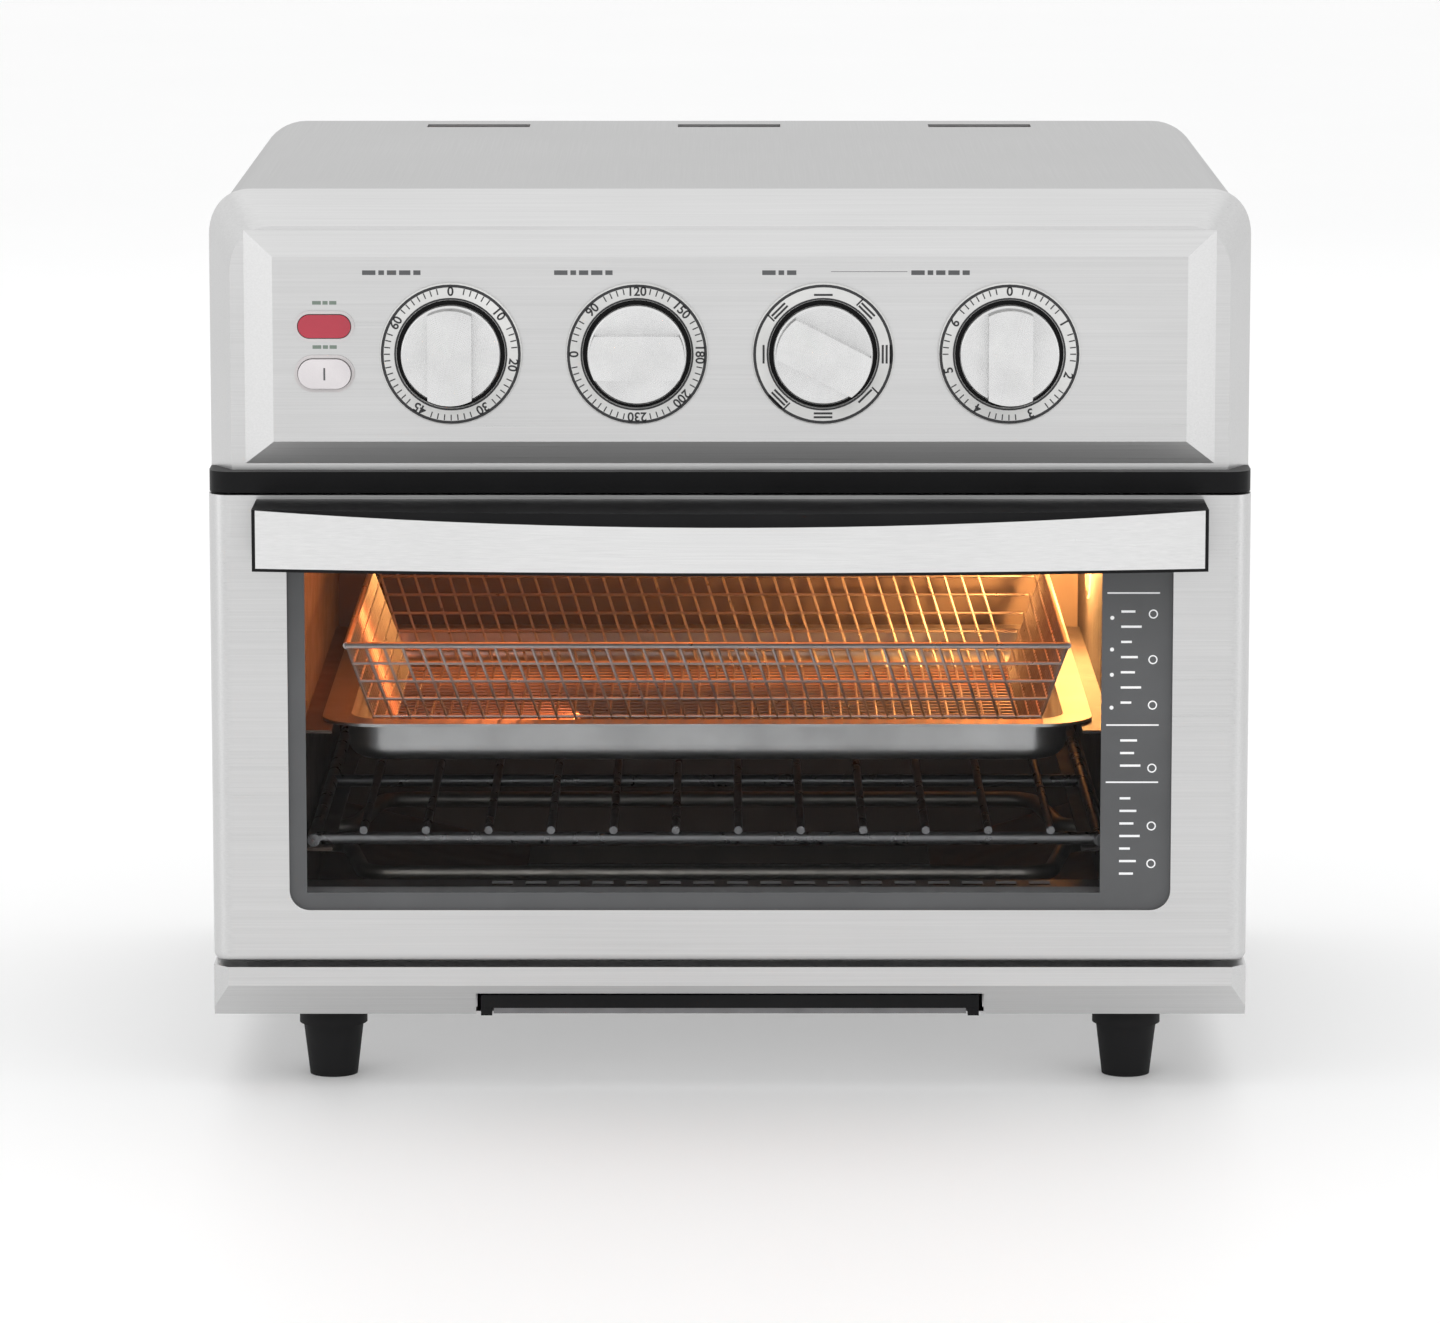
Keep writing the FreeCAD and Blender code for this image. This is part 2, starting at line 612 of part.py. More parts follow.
def back_fittings():
    """Wall spacers, the bush that the supply lead leaves by, and the panel's screws."""
    spacers = []
    for side in "+-":
        block = box(across("spacer_half", f"{side} spacer_spread"), ("rear", "depth / 2"),
                    across("spacer_half", "spacer_rise"))
        spacers.append(rounded(block, "spacer_half / 3", lambda e: runs(e, "y")))
    node("back_spacers", group(*spacers))
    neck = "gland_radius - sheet - slip"
    outside = ring("y", "gland_radius + sheet", "gland_bore", "gland_side", "rear",
                   "gland_rise", "gland_reach")
    through = ring("y", neck, "gland_bore", "gland_side", "rear - sheet", "gland_rise", "2 * sheet")
    inside = ring("y", "gland_radius + sheet", "gland_bore", "gland_side",
                  "rear - 3 * sheet", "gland_rise", "2 * sheet")
    node("cord_gland", fuse(outside, through, inside))
    screws = []
    for x, z in screw_places():
        head = rod("y", "screw_head", x, "rear", z, "screw_rise")
        shank = rod("y", "screw_radius", x, "rear - screw_length", z,
                    "screw_length + screw_rise / 2")
        slot = box(across(f"screw_head + {HIDDEN}", x),
                   ("rear + screw_rise / 2", "rear + 2 * screw_rise"),
                   across("0.5", z))
        screws.append(cut(fuse(head, shank), slot))
    node("rear_screws", group(*screws))


# ---- fascia, trim band and front frame

def dial_places():
    """The dials' centres, left to right."""
    return [f"{step} * dial_pitch" for step in (-1.5, -0.5, 0.5, 1.5)]


def pill_places():
    return (("lens_height", "lens_tall"), ("button_height", "button_tall"))


def fascia():
    brow = frustum(across("half - side_round"), ("fascia_bottom", "height - brow_drop"), "step_y",
                   across("half"), ("fascia_bottom", "height"), "wrap_front")
    brow = rounded(brow, "roof_corner", lambda e: e.BoundBox.YLength > HIDDEN and not runs(e, "y")
                   and e.BoundBox.ZMax > mm("height") - HIDDEN)
    panel = frustum(across("half - panel_side - panel_bevel"),
                    ("fascia_bottom + panel_foot + panel_bevel_drop",
                     "height - panel_top - panel_bevel_drop"), "front",
                    across("half - panel_side"),
                    ("fascia_bottom + panel_foot", "height - panel_top"), "step_y")
    hollow = frustum(across("half - side_round - shell"),
                     ("fascia_bottom + shell", "height - brow_drop - shell"), "step_y + shell",
                     across("half - shell"), ("fascia_bottom + shell", "height - shell"),
                     f"wrap_front + {HIDDEN}")
    hollow = rounded(hollow, "roof_corner - shell", lambda e: e.BoundBox.YLength > HIDDEN
                     and not runs(e, "y") and e.BoundBox.ZMax > mm("height - shell") - HIDDEN)
    slack = "dish_slack"
    dish = frustum(across(f"half - panel_side - panel_bevel - {slack}"),
                   (f"fascia_bottom + panel_foot + panel_bevel_drop + {slack}",
                    f"height - panel_top - panel_bevel_drop - {slack}"), "front + shell",
                   across(f"half - panel_side - {slack}"),
                   (f"fascia_bottom + panel_foot + {slack}", f"height - panel_top - {slack}"),
                   "step_y + shell")
    through = (f"front - {HIDDEN}", "front + 2 * shell")
    holes = [rod("y", "shaft_hole", x, through[0], "dial_height", f"2 * shell + {2 * HIDDEN}")
             for x in dial_places()]
    holes += [pill("-(pill_side)", z, "pill_length + 2 * run", f"{tall} + 2 * run", *through)
              for z, tall in pill_places()]
    node("fascia", cut(fuse(brow, panel), hollow, dish, *holes))


def trim_band():
    bar = box(across("half - fit"), ("front + band_setback", "frame_front"),
              ("band_bottom", "fascia_bottom"))
    node("trim_band", rounded(bar, "side_round", lambda e: runs(e, "z")
                              and near(e.BoundBox.YMin, "front + band_setback")))


def front_frame():
    """The pressed frame round the oven's mouth, its rim turned back to meet the wrap."""
    tall = ("skirt_bottom", "fascia_bottom")
    plate = box(across("half - fit"), ("frame_front", "wrap_front"), tall)
    behind = box(across("half - fit - shell"), ("frame_back", f"wrap_front + {HIDDEN}"),
                 (f"skirt_bottom - {HIDDEN}", f"fascia_bottom + {HIDDEN}"))
    through = (f"frame_front - {HIDDEN}", f"wrap_front + {HIDDEN}")
    mouth = box(across("cavity_half", "cavity_shift"), through,
                ("cavity_sill", "cavity_top - mouth_drop"))
    notch = box(across("notch_half"), through, (f"skirt_bottom - {HIDDEN}", "notch_top"))
    sill = box(across("cavity_half", "cavity_shift"), ("frame_front", "frame_front + sill_depth"),
               ("cavity_sill - sheet", "cavity_sill"))
    slots = []
    for n in range(SILL_SLOTS):
        x = f"cavity_shift + slot_shift + {n - SILL_SLOTS // 2} * slot_pitch"
        y = ("frame_back + slot_width / 4", "frame_back + slot_width / 4 + slot_depth")
        slots.append(box(across("slot_width / 2", x), y,
                         (f"cavity_sill - sheet - {HIDDEN}", f"cavity_sill + {HIDDEN}")))
    node("front_frame", cut(fuse(cut(plate, behind, mouth, notch), sill), *slots))


# ---- dials, knobs and what they turn

KNOBS = ("oven_timer", "thermostat", "function_switch", "toast_timer")
REST_TURN = {"oven_timer": 0, "thermostat": 90, "function_switch": 117, "toast_timer": 0}


def dial_rings():
    rings = [ring("y", "dial_radius", "dial_bore", x, "front - dial_rise", "dial_height",
                  "dial_rise") for x in dial_places()]
    rings = [rounded(r, "dial_rise / 4", lambda e: near(e.BoundBox.YMax, "front - dial_rise"))
             for r in rings]
    node("dial_rings", group(*rings))


def knob(name, x):
    """A knob with one thick grip across it, and the shaft that it turns."""
    back = "front - knob_gap"
    disc = rod("y", "knob_radius", x, f"{back} - knob_disc", "dial_height", "knob_disc")
    disc = rounded(disc, "knob_gap", lambda e: near(e.BoundBox.YMax, f"{back} - knob_disc"))
    barrel = rod("y", "knob_radius - knob_gap", x, f"{back} - knob_reach", "dial_height",
                 f"knob_reach - {HIDDEN}")
    bar = box(across("grip_width / 2", x), (f"{back} - knob_reach - {HIDDEN}", back),
              across("2 * knob_radius", "dial_height"))
    grip = common(barrel, bar)
    socket = rod("y", "shaft_radius + slip / 2", x, f"{back} - knob_socket", "dial_height",
                 f"knob_socket + {HIDDEN}")
    turned_knob = cut(fuse(disc, grip), socket)
    turn_about_dial(turned_knob, x, REST_TURN[name])
    node(f"{name}_knob", turned_knob)
    start = f"{back} - knob_socket"
    node(f"{name}_shaft", rod("y", "shaft_radius", x, start, "dial_height",
                              f"shaft_end - slip - ({start})"))


def turn_about_dial(thing, x, degrees):
    """Turns a sub-part clockwise, as seen from the front, about its dial's centre."""
    angle = FreeCAD.Rotation(FreeCAD.Vector(0, 1, 0), degrees)
    thing.Placement = FreeCAD.Placement(FreeCAD.Vector(), angle)
    cosine, sine = f"cos({degrees} deg)", f"sin({degrees} deg)"
    flat = f"({x}) - (({x}) * {cosine} + dial_height * {sine})"
    rise = f"dial_height - (dial_height * {cosine} - ({x}) * {sine})"
    bind(thing, Placement__Base__x=flat, Placement__Base__z=rise)


def control(name, x):
    """A timer or switch body on the bracket, with a bush that its shaft runs in."""
    case = box(across("control_half", x), ("bracket_back", "bracket_back + control_depth"),
               across("control_half", "dial_height"))
    case = rounded(case, "shell", lambda e: runs(e, "y"))
    bush = rod("y", "bushing", x, "bracket_front - shell", "dial_height",
               "bracket_sheet + 2 * shell")
    terminals = [box(across("shell", f"{x} {sign} control_half / 2"),
                     (f"bracket_back + control_depth - {HIDDEN}",
                      "bracket_back + control_depth + terminal_reach"),
                     across("terminal / 2", "dial_height")) for sign in "+-"]
    bore = rod("y", "shaft_radius + slip", x, f"bracket_front - shell - {HIDDEN}", "dial_height",
               f"shaft_end - bracket_front + shell + {HIDDEN}")
    body = cut(fuse(case, bush, *terminals), bore)
    if name == "thermostat":
        # its sensing bulb lies along the cavity's left wall, held by two clips
        level = "cavity_top - bulb_drop"
        bulb = rod("y", "bulb_radius", "cavity_left_x + 2 * bulb_radius",
                   "fan_place - bulb_length / 2", level, "bulb_length")
        clips = [box(("cavity_left_x", "cavity_left_x + 2 * bulb_radius"),
                     across("bulb_radius", f"fan_place {sign} bulb_length / 3"),
                     across("bulb_radius / 2", level)) for sign in "+-"]
        body = group(body, fuse(bulb, *clips))
    node(name, body)


def control_bracket():
    tall = ("bracket_low", "bracket_high")
    plate = box(("bracket_left", "bracket_right"), ("bracket_front", "bracket_back"), tall)
    tabs = [box(x, ("front + shell", "bracket_back"), tall)
            for x in (("bracket_left + bracket_tab", "bracket_left + bracket_tab + bracket_sheet"),
                      ("bracket_right - bracket_sheet", "bracket_right"))]
    through = (f"bracket_front - {HIDDEN}", f"bracket_back + {HIDDEN}")
    holes = [rod("y", "bushing + fit", x, through[0], "dial_height", f"({through[1]}) - ({through[0]})")
             for x in dial_places()]
    holes += [pill("-(pill_side)", z, "pill_length - 2 * bracket_lap",
                   f"{rise} - 2 * bracket_lap", *through) for z, rise in pill_places()]
    node("control_bracket", cut(fuse(plate, *tabs), *holes))


def lens_and_button():
    """The red lens, the button, the switch that it presses and a bezel round each."""
    (lens_z, lens_tall), (button_z, button_tall) = pill_places()
    x = "-(pill_side)"
    face = pill(x, lens_z, "pill_length", lens_tall, "front - lens_reach", "bracket_front")
    node("power_lens", face)
    cap = pill(x, button_z, "pill_length", button_tall, "front - button_reach",
               "front + button_depth")
    stem = box(across("stem_half", x),
               (f"front + button_depth - {HIDDEN}", "bracket_back + switch_travel"),
               across("stem_rise", button_z))
    node("light_button", fuse(cap, stem))
    well = box(across("stem_half + run", x),
               (f"bracket_back - {HIDDEN}", "bracket_back + switch_travel + button_reach"),
               across("stem_rise + run", button_z))
    case = box(across("switch_half", x), ("bracket_back", "bracket_back + switch_depth"),
               across("switch_half", button_z))
    node("light_switch", cut(case, well))
    bezels = []
    for z, tall in pill_places():
        outer = pill(x, z, "pill_length + 2 * run + 2 * bezel_width",
                     f"{tall} + 2 * run + 2 * bezel_width", "front - bezel_rise", "front")
        inner = pill(x, z, "pill_length + 2 * run", f"{tall} + 2 * run",
                     f"front - bezel_rise - {HIDDEN}", f"front + {HIDDEN}")
        bezels.append(cut(outer, inner))
    node("pill_bezels", group(*bezels))


# ---- door and handle

def hinge_sides(low, high):
    """A span of x on the right and the same span on the left."""
    return (low, high), (f"-({high})", f"-({low})")


def door_frame():
    tall = ("door_bottom", "door_top")
    outer = box(across("half"), ("front", "door_back"), tall)
    outer = rounded(outer, "side_round", lambda e: runs(e, "z") and near(e.BoundBox.YMin, "front"))
    outer = rounded(outer, "toe_round", lambda e: near(e.BoundBox.ZMax, "door_bottom")
                    and e.BoundBox.YMin < mm("front + side_round - fit"))
    hollow = box(across("half - shell"), ("front + shell", f"door_back + {HIDDEN}"),
                 ("door_bottom + shell", "door_top - shell"))
    hollow = rounded(hollow, "side_round - shell",
                     lambda e: runs(e, "z") and near(e.BoundBox.YMin, "front + shell"))
    window = box(across("window_half"), (f"front - {HIDDEN}", "front + 2 * shell"),
                 ("window_bottom", "window_top"))
    window = rounded(window, "window_corner", lambda e: runs(e, "y"))
    ways = [box(x, ("front + shell", f"door_back + {HIDDEN}"),
                (f"door_bottom - {HIDDEN}", "door_bottom + 2 * shell"))
            for x in hinge_sides("arm_inner - arm_gap", "arm_outer + arm_gap")]
    bosses = [box(x, ("front + shell / 2", "axis_y + arm_radius + shell"),
                  ("door_bottom + shell / 2", "axis_z + arm_radius + shell"))
              for x in hinge_sides("pin_end", "half - side_round / 3")]
    node("door_frame", fuse(cut(outer, hollow, window, *ways), common(outer, fuse(*bosses))))


def door_glass():
    body = new_body("glass")
    outline = sketch(body, "XZ_Plane", "-(glass_front)")
    rectangle(outline, across("window_half + glass_lap"),
              ("window_bottom - glass_lap", "window_top + glass_lap"))
    feature(body, "Pad", outline, Length="glass", Reversed=True)
    softened(body, "window_corner", lambda e: runs(e, "y"))
    node("door_glass", body)


def door_liner():
    """The pressed liner behind the glass: a channel all round the window."""
    tall = ("door_bottom + liner_margin", "door_top - liner_margin")
    deep = ("liner_front", "liner_back")
    window_x = across("window_half - liner_lap")
    window_z = ("window_bottom + liner_lap", "window_top - liner_lap")
    outer = box(across("liner_half"), deep, tall)
    through = (f"liner_front - {HIDDEN}", f"liner_back + {HIDDEN}")
    window = rounded(box(window_x, through, window_z), "window_corner", lambda e: runs(e, "y"))
    inside = box(across("liner_half - liner_sheet"),
                 (f"liner_front - {HIDDEN}", "liner_back - liner_sheet"),
                 inset(tall, "liner_sheet"))
    lip = box(across("window_half - liner_lap + liner_sheet"),
              (f"liner_front - {2 * HIDDEN}", f"liner_back + {HIDDEN}"),
              inset(window_z, "0 - liner_sheet"))
    node("door_liner", cut(outer, window, cut(inside, lip)))


def bow(inset, low, high):
    """A tall cylinder whose front follows the handle's bow."""
    return rod("z", f"bow_radius - ({inset})", "0", "bow_centre", low, f"({high}) - ({low})")


def handle():
    tall = ("handle_bottom", "handle_top")
    ahead = f"front - handle_reach - {HIDDEN}"
    solid = common(box(across("handle_half"), (ahead, "front"), tall), bow("plate", *tall))
    low = f"handle_bottom - {HIDDEN}"
    hollow = common(box(across("handle_half - handle_wall"), (ahead, f"front + {HIDDEN}"),
                        (low, "handle_top - handle_web")),
                    bow("plate + handle_wall", low, "handle_top - handle_web"))
    node("handle_core", cut(solid, hollow))
    face = ("handle_bottom + plate_edge", "handle_top")
    strip = box(across("plate_half"), (ahead, "front - handle_reach / 2"), face)
    skin = cut(bow("0", *face), bow("plate", f"handle_bottom", f"handle_top + {HIDDEN}"))
    dip = rod("y", "dip_radius", "0", ahead, "handle_top - plate_dip + dip_radius", "handle_reach")
    node("handle_plate", cut(common(strip, skin), dip))


def hinges():
    arms, pins, springs = [], [], []
    for x in hinge_sides("arm_inner", "arm_outer"):
        bar = box(x, ("axis_y", "frame_front"), across("arm_radius", "axis_z"))
        eye = rod("x", "arm_radius", x[0], "axis_y", "axis_z", "arm_width")
        hole = rod("x", "pin_radius + slip", f"{x[0]} - {HIDDEN}", "axis_y", "axis_z",
                   f"arm_width + {2 * HIDDEN}")
        arms.append(cut(fuse(bar, eye), hole))
    for start in ("liner_half", "-(pin_end)"):
        pins.append(rod("x", "pin_radius", start, "axis_y", "axis_z", "pin_end - liner_half"))
    for sign in "+-":
        turns = [hoop("x", "spring_coil", "spring_wire",
                      f"{sign} (arm_outer + spring_wire + {n} * spring_pitch)", "axis_y", "axis_z")
                 for n in range(SPRING_TURNS)]
        springs.append(fuse(*turns))
    node("hinge_arms", group(*arms))
    node("hinge_pins", group(*pins))
    node("door_springs", group(*springs))


# ---- oven cavity

def heater_ends():
    """Where each heater passes the cavity's side walls, as (y, z)."""
    first, last = "frame_back + heater_inset", "cavity_back - heater_back"
    for y in (first, f"{first} + heater_pair", f"{last} - heater_pair", last):
        yield y, "upper_heater"
    for y in ("lower_front_end", "lower_rear_end"):
        yield y, "lower_heater"


def cavity_side(name, inner, outer, ledge):
    """A side wall with two folded ledges that the rack and the pan slide on."""
    x = (inner, outer) if mm(inner) < mm(outer) else (outer, inner)
    wall = box(x, ("frame_back", "cavity_back"), ("wing_top - sheet", "cavity_top"))
    along = ("frame_back + shell", "cavity_back - ledge_gap")
    over = (inner, f"{inner} {ledge}")
    if "-" in ledge:
        over = over[::-1]
    ledges = [box(over, along, (f"{level} - ledge_sheet", level))
              for level in ("rack_level", "pan_level")]
    start = f"{x[0]} - {HIDDEN}"
    holes = [rod("x", "heater_hole", start, y, z, f"sheet + {2 * HIDDEN}")
             for y, z in heater_ends()]
    if name == "cavity_right":
        holes.append(rod("x", "lamp_radius", start, "lamp_place", "lamp_height",
                         f"sheet + {2 * HIDDEN}"))
    node(name, cut(fuse(wall, *ledges), *holes))


def cavity_shell():
    cavity_side("cavity_left", "cavity_left_x", "cavity_left_x - sheet", "+ ledge_depth")
    cavity_side("cavity_right", "cavity_right_x", "cavity_right_x + sheet", "- ledge_depth")
    wide = across("cavity_half + sheet", "cavity_shift")
    node("cavity_rear", box(wide, ("cavity_back", "cavity_back + sheet"),
                            ("wing_bottom - sheet", "cavity_top + sheet")))
    roof = box(wide, ("frame_back", "cavity_back"), ("cavity_top", "cavity_top + sheet"))
    mouth = rod("z", "fan_mouth", "fan_x", "fan_place", f"cavity_top - {HIDDEN}",
                f"sheet + {2 * HIDDEN}")
    node("cavity_ceiling", cut(roof, mouth))
    body = new_body("floor")
    outline = sketch(body, "XZ_Plane", "-(frame_back)")
    drop = "drop_half + fit"
    polygon(outline, [("cavity_left_x", "wing_top"), (f"-({drop})", "wing_bottom"),
                      (drop, "wing_bottom"), ("cavity_right_x", "wing_top"),
                      ("cavity_right_x", "wing_top - sheet"), (drop, "wing_bottom - sheet"),
                      (f"-({drop})", "wing_bottom - sheet"),
                      ("cavity_left_x", "wing_top - sheet")])
    feature(body, "Pad", outline, Length="cavity_depth", Reversed=True)
    gap = sketch(body, "XY_Plane", f"wing_bottom + {HIDDEN}")
    rectangle(gap, across("drop_half - drop_lip"),
              ("frame_back + 2 * drop_lip", "cavity_back - 2 * drop_lip"))
    feature(body, "Pocket", gap, Length="10")
    node("cavity_floor", body)


def heaters():
    reach = f"cavity_half + heater_tail"
    bars = [rod("x", "heater_radius", f"cavity_shift - ({reach})", y, z, f"2 * ({reach})")
            for y, z in heater_ends() if z == "upper_heater"]
    node("upper_heaters", group(*bars))
    loops = []
    for end, ahead in (("lower_front_end", "- heater_run"), ("lower_rear_end", "+ heater_run")):
        half_path = [(reach, end), ("cavity_half - heater_lead", end),
                     ("cavity_half - heater_lead - heater_slant", f"{end} {ahead}")]
        points = [(f"cavity_shift - ({x})", y, "lower_heater") for x, y in half_path]
        points += [(f"cavity_shift + ({x})", y, "lower_heater") for x, y in half_path[::-1]]
        loops.append(bent_rod("loop", points, "heater_radius", "heater_bend"))
    node("lower_heaters", group(*loops))
    beads = []
    for y, z in heater_ends():
        for start in ("cavity_right_x + sheet", "cavity_left_x - sheet - insulator_length"):
            beads.append(ring("x", "insulator_radius", "heater_radius + slip", start, y, z,
                              "insulator_length"))
    node("insulators", group(*beads))


def lamp():
    """The cavity lamp: a cup in the right wall, its holder and bulb, and a lens over them."""
    x, y, z = "cavity_right_x", "lamp_place", "lamp_height"
    wall = f"{x} + sheet"
    floor = f"{wall} + lamp_cup - shell"
    flange = ring("x", "lamp_radius + lamp_flange", "lamp_radius", wall, y, z, "shell")
    cup = ring("x", "lamp_radius + shell", "lamp_radius", wall, y, z, "lamp_cup - shell")
    back = rod("x", "lamp_radius + shell", floor, y, z, "shell")
    bulb_end = f"{wall} + bulb_gap + 2 * bulb"
    holder = ring("x", "holder_radius", "holder_radius - holder_wall", bulb_end,
                  y, z, f"lamp_cup - shell - bulb_gap - 2 * bulb + {HIDDEN}")
    node("lamp_socket", fuse(flange, cup, back, holder))
    globe = rod("x", "bulb", f"{wall} + bulb_gap", y, z, "2 * bulb")
    globe = rounded(globe, "bulb_round", lambda e: near(e.BoundBox.XMax, f"{wall} + bulb_gap"))
    globe = rounded(globe, "shell", lambda e: near(e.BoundBox.XMin, bulb_end))
    stem = rod("x", "holder_radius - holder_wall - slip", f"{wall} + bulb_gap + bulb", y, z,
               "lamp_cup - shell - bulb_gap - bulb")
    node("lamp_bulb", fuse(globe, stem))
    seat = rod("x", "lamp_radius - slip", f"{x} - lens_lip", y, z, "sheet + 2 * lens_lip")
    rim = ring("x", "lamp_radius + lens_rim", "lamp_radius - lens_rim", f"{x} - lens_lip", y, z,
               "lens_lip")
    node("lamp_lens", fuse(seat, rim))


# ---- pan, basket, rack and crumb tray

def tray_box(x, y, z, corner, foot):
    """A block with rounded uprights and a rounded bottom edge."""
    block = rounded(box(x, y, z), corner, lambda e: runs(e, "z"))
    return rounded(block, foot, lambda e: near(e.BoundBox.ZMax, z[0]))


def inset(span, by):
    return f"({span[0]}) + ({by})", f"({span[1]}) - ({by})"


def baking_pan():
    """An open pan whose flat rim rides on the upper ledges."""
    x, y = across("pan_half", "cavity_shift"), ("pan_start", "pan_start + pan_length")
    rim = rounded(box(x, y, ("pan_top - pan_sheet", "pan_top")), "pan_corner",
                  lambda e: runs(e, "z"))
    outer = tray_box(inset(x, "pan_rim"), inset(y, "pan_rim"), ("pan_bottom", "pan_top"),
                     "pan_corner - pan_rim / 2", "pan_foot_round")
    inner = tray_box(inset(x, "pan_rim + pan_sheet"), inset(y, "pan_rim + pan_sheet"),
                     ("pan_bottom + pan_sheet", f"pan_top + {HIDDEN}"),
                     "pan_corner - pan_rim / 2 - pan_sheet", "pan_foot_round - pan_sheet")
    node("baking_pan", cut(fuse(rim, outer), inner))


def frustum_up(low_x, low_y, low_z, high_x, high_y, high_z):
    """A block along Z whose bottom and top differ in size."""
    lie = FreeCAD.Rotation(FreeCAD.Vector(1, 0, 0), 90)
    flip = [(f"-({hi})", f"-({lo})") for lo, hi in (low_y, high_y)]
    wedge = frustum(low_x, flip[0], low_z, high_x, flip[1], high_z)
    wedge.Placement = FreeCAD.Placement(FreeCAD.Vector(), lie)
    return wedge


def air_basket():
    """The mesh basket as a thin open shell; it stands in the pan."""
    bottom = "pan_bottom + pan_sheet"
    x = across("basket_half", "cavity_shift")
    y = inset(("pan_start", "pan_start + pan_length"), "basket_end_gap")
    low_x, low_y = inset(x, "basket_taper"), inset(y, "basket_taper")
    outer = frustum_up(low_x, low_y, bottom, x, y, "basket_top")
    hollow = frustum_up(inset(low_x, "basket_mesh"), inset(low_y, "basket_mesh"),
                        f"{bottom} + basket_mesh", inset(x, "basket_mesh"),
                        inset(y, "basket_mesh"), f"basket_top + {HIDDEN / 100}")
    node("air_basket", cut(outer, hollow))


def wire_rack():
    side = "cavity_half - rack_side_gap - rack_rim"
    level = "rack_level + run + rack_rim"
    last = "rack_start + rack_depth - 2 * rack_rim"
    wires = []
    for sign in "+-":
        wires.append(rod("y", "rack_rim", f"cavity_shift {sign} ({side})", "rack_start", level,
                         "rack_depth"))
    for y in ("rack_start + 2 * rack_rim", "rack_start + rack_depth / 2", last):
        wires.append(rod("x", "rack_rim", f"cavity_shift - ({side})", y, level, f"2 * ({side})"))
    for n in range(RACK_WIRES):
        x = f"cavity_shift + ({n} - {(RACK_WIRES - 1) / 2}) * rack_pitch"
        wires.append(rod("y", "rack_wire", x, "rack_start + rack_rim",
                         "rack_level + run + 2 * rack_rim + rack_wire - rack_weld",
                         "rack_depth - 2 * rack_rim"))
    node("wire_rack", fuse(*wires))


def crumb_tray():
    long = ("tray_front", "tray_front + tray_length")
    floor = box(across("tray_half"), long, ("tray_level", "tray_level + tray_sheet"))
    lip = box(across("tray_half"), ("tray_front", "tray_front + 1.5 * tray_sheet"),
              ("tray_level - tray_lip_drop", "tray_level + tray_lip_rise"))
    walled = ("wrap_front + shell", "tray_front + tray_length")
    outer = box(across("tray_half"), walled, ("tray_level", "tray_level + tray_wall"))
    inner = box(across("tray_half - tray_sheet"), inset(walled, "tray_sheet"),
                ("tray_level + tray_sheet", f"tray_level + tray_wall + {HIDDEN}"))
    node("crumb_tray", fuse(cut(fuse(floor, outer), inner), lip))


# ---- convection fan

def fan_grille():
    body = new_body("grille")
    disc = sketch(body, "XY_Plane", "cavity_top - grille_sheet")
    circle(disc, "0", "0", "plenum_radius")
    feature(body, "Pad", disc, Length="grille_sheet")
    slot = sketch(body, "XY_Plane", "cavity_top")
    rectangle(slot, ("hub_radius + grille_web", "fan_mouth - grille_web"), across("grille_slot / 2"))
    ports = feature(body, "Pocket", slot, Type=1)
    polar(body, ports, GRILLE_SLOTS)
    bind(body, Placement__Base__x="fan_x", Placement__Base__y="fan_place")
    node("fan_grille", body)


def fan_plenum():
    roof = "cavity_top + sheet"
    lip = rod("z", "plenum_radius + plenum_lip", "fan_x", "fan_place", roof, "sheet")
    drum = rod("z", "plenum_radius", "fan_x", "fan_place", roof, "plenum_height")
    inside = rod("z", "plenum_radius - sheet", "fan_x", "fan_place", f"{roof} - {HIDDEN}",
                 f"plenum_height - sheet + {HIDDEN}")
    way = rod("z", "shaft_radius + shaft_room", "fan_x", "fan_place", roof,
              f"plenum_height + {HIDDEN}")
    node("fan_plenum", cut(fuse(lip, drum), inside, way))


def bladed(name, radius, tall, top, count):
    """A fan wheel: a hub, straight blades and, on the impeller, a back plate."""
    body = new_body(f"{name}_wheel")
    hub = sketch(body, "XY_Plane", top)
    circle(hub, "0", "0", "hub_radius")
    circle(hub, "0", "0", "shaft_radius + slip / 2")
    feature(body, "Pad", hub, Length=tall, Reversed=True)
    if name == "fan_impeller":
        plate = sketch(body, "XY_Plane", top)
        circle(plate, "0", "0", radius)
        circle(plate, "0", "0", "shaft_radius + slip / 2")
        feature(body, "Pad", plate, Length="blade_sheet", Reversed=True)
    blade = sketch(body, "XY_Plane", top)
    rectangle(blade, ("hub_radius - blade_sheet", f"({radius}) - blade_sheet"),
              across("blade_sheet / 2"))
    blades = feature(body, "Pad", blade, Length=tall, Reversed=True)
    polar(body, blades, count)
    bind(body, Placement__Base__x="fan_x", Placement__Base__y="fan_place")
    node(name, body)


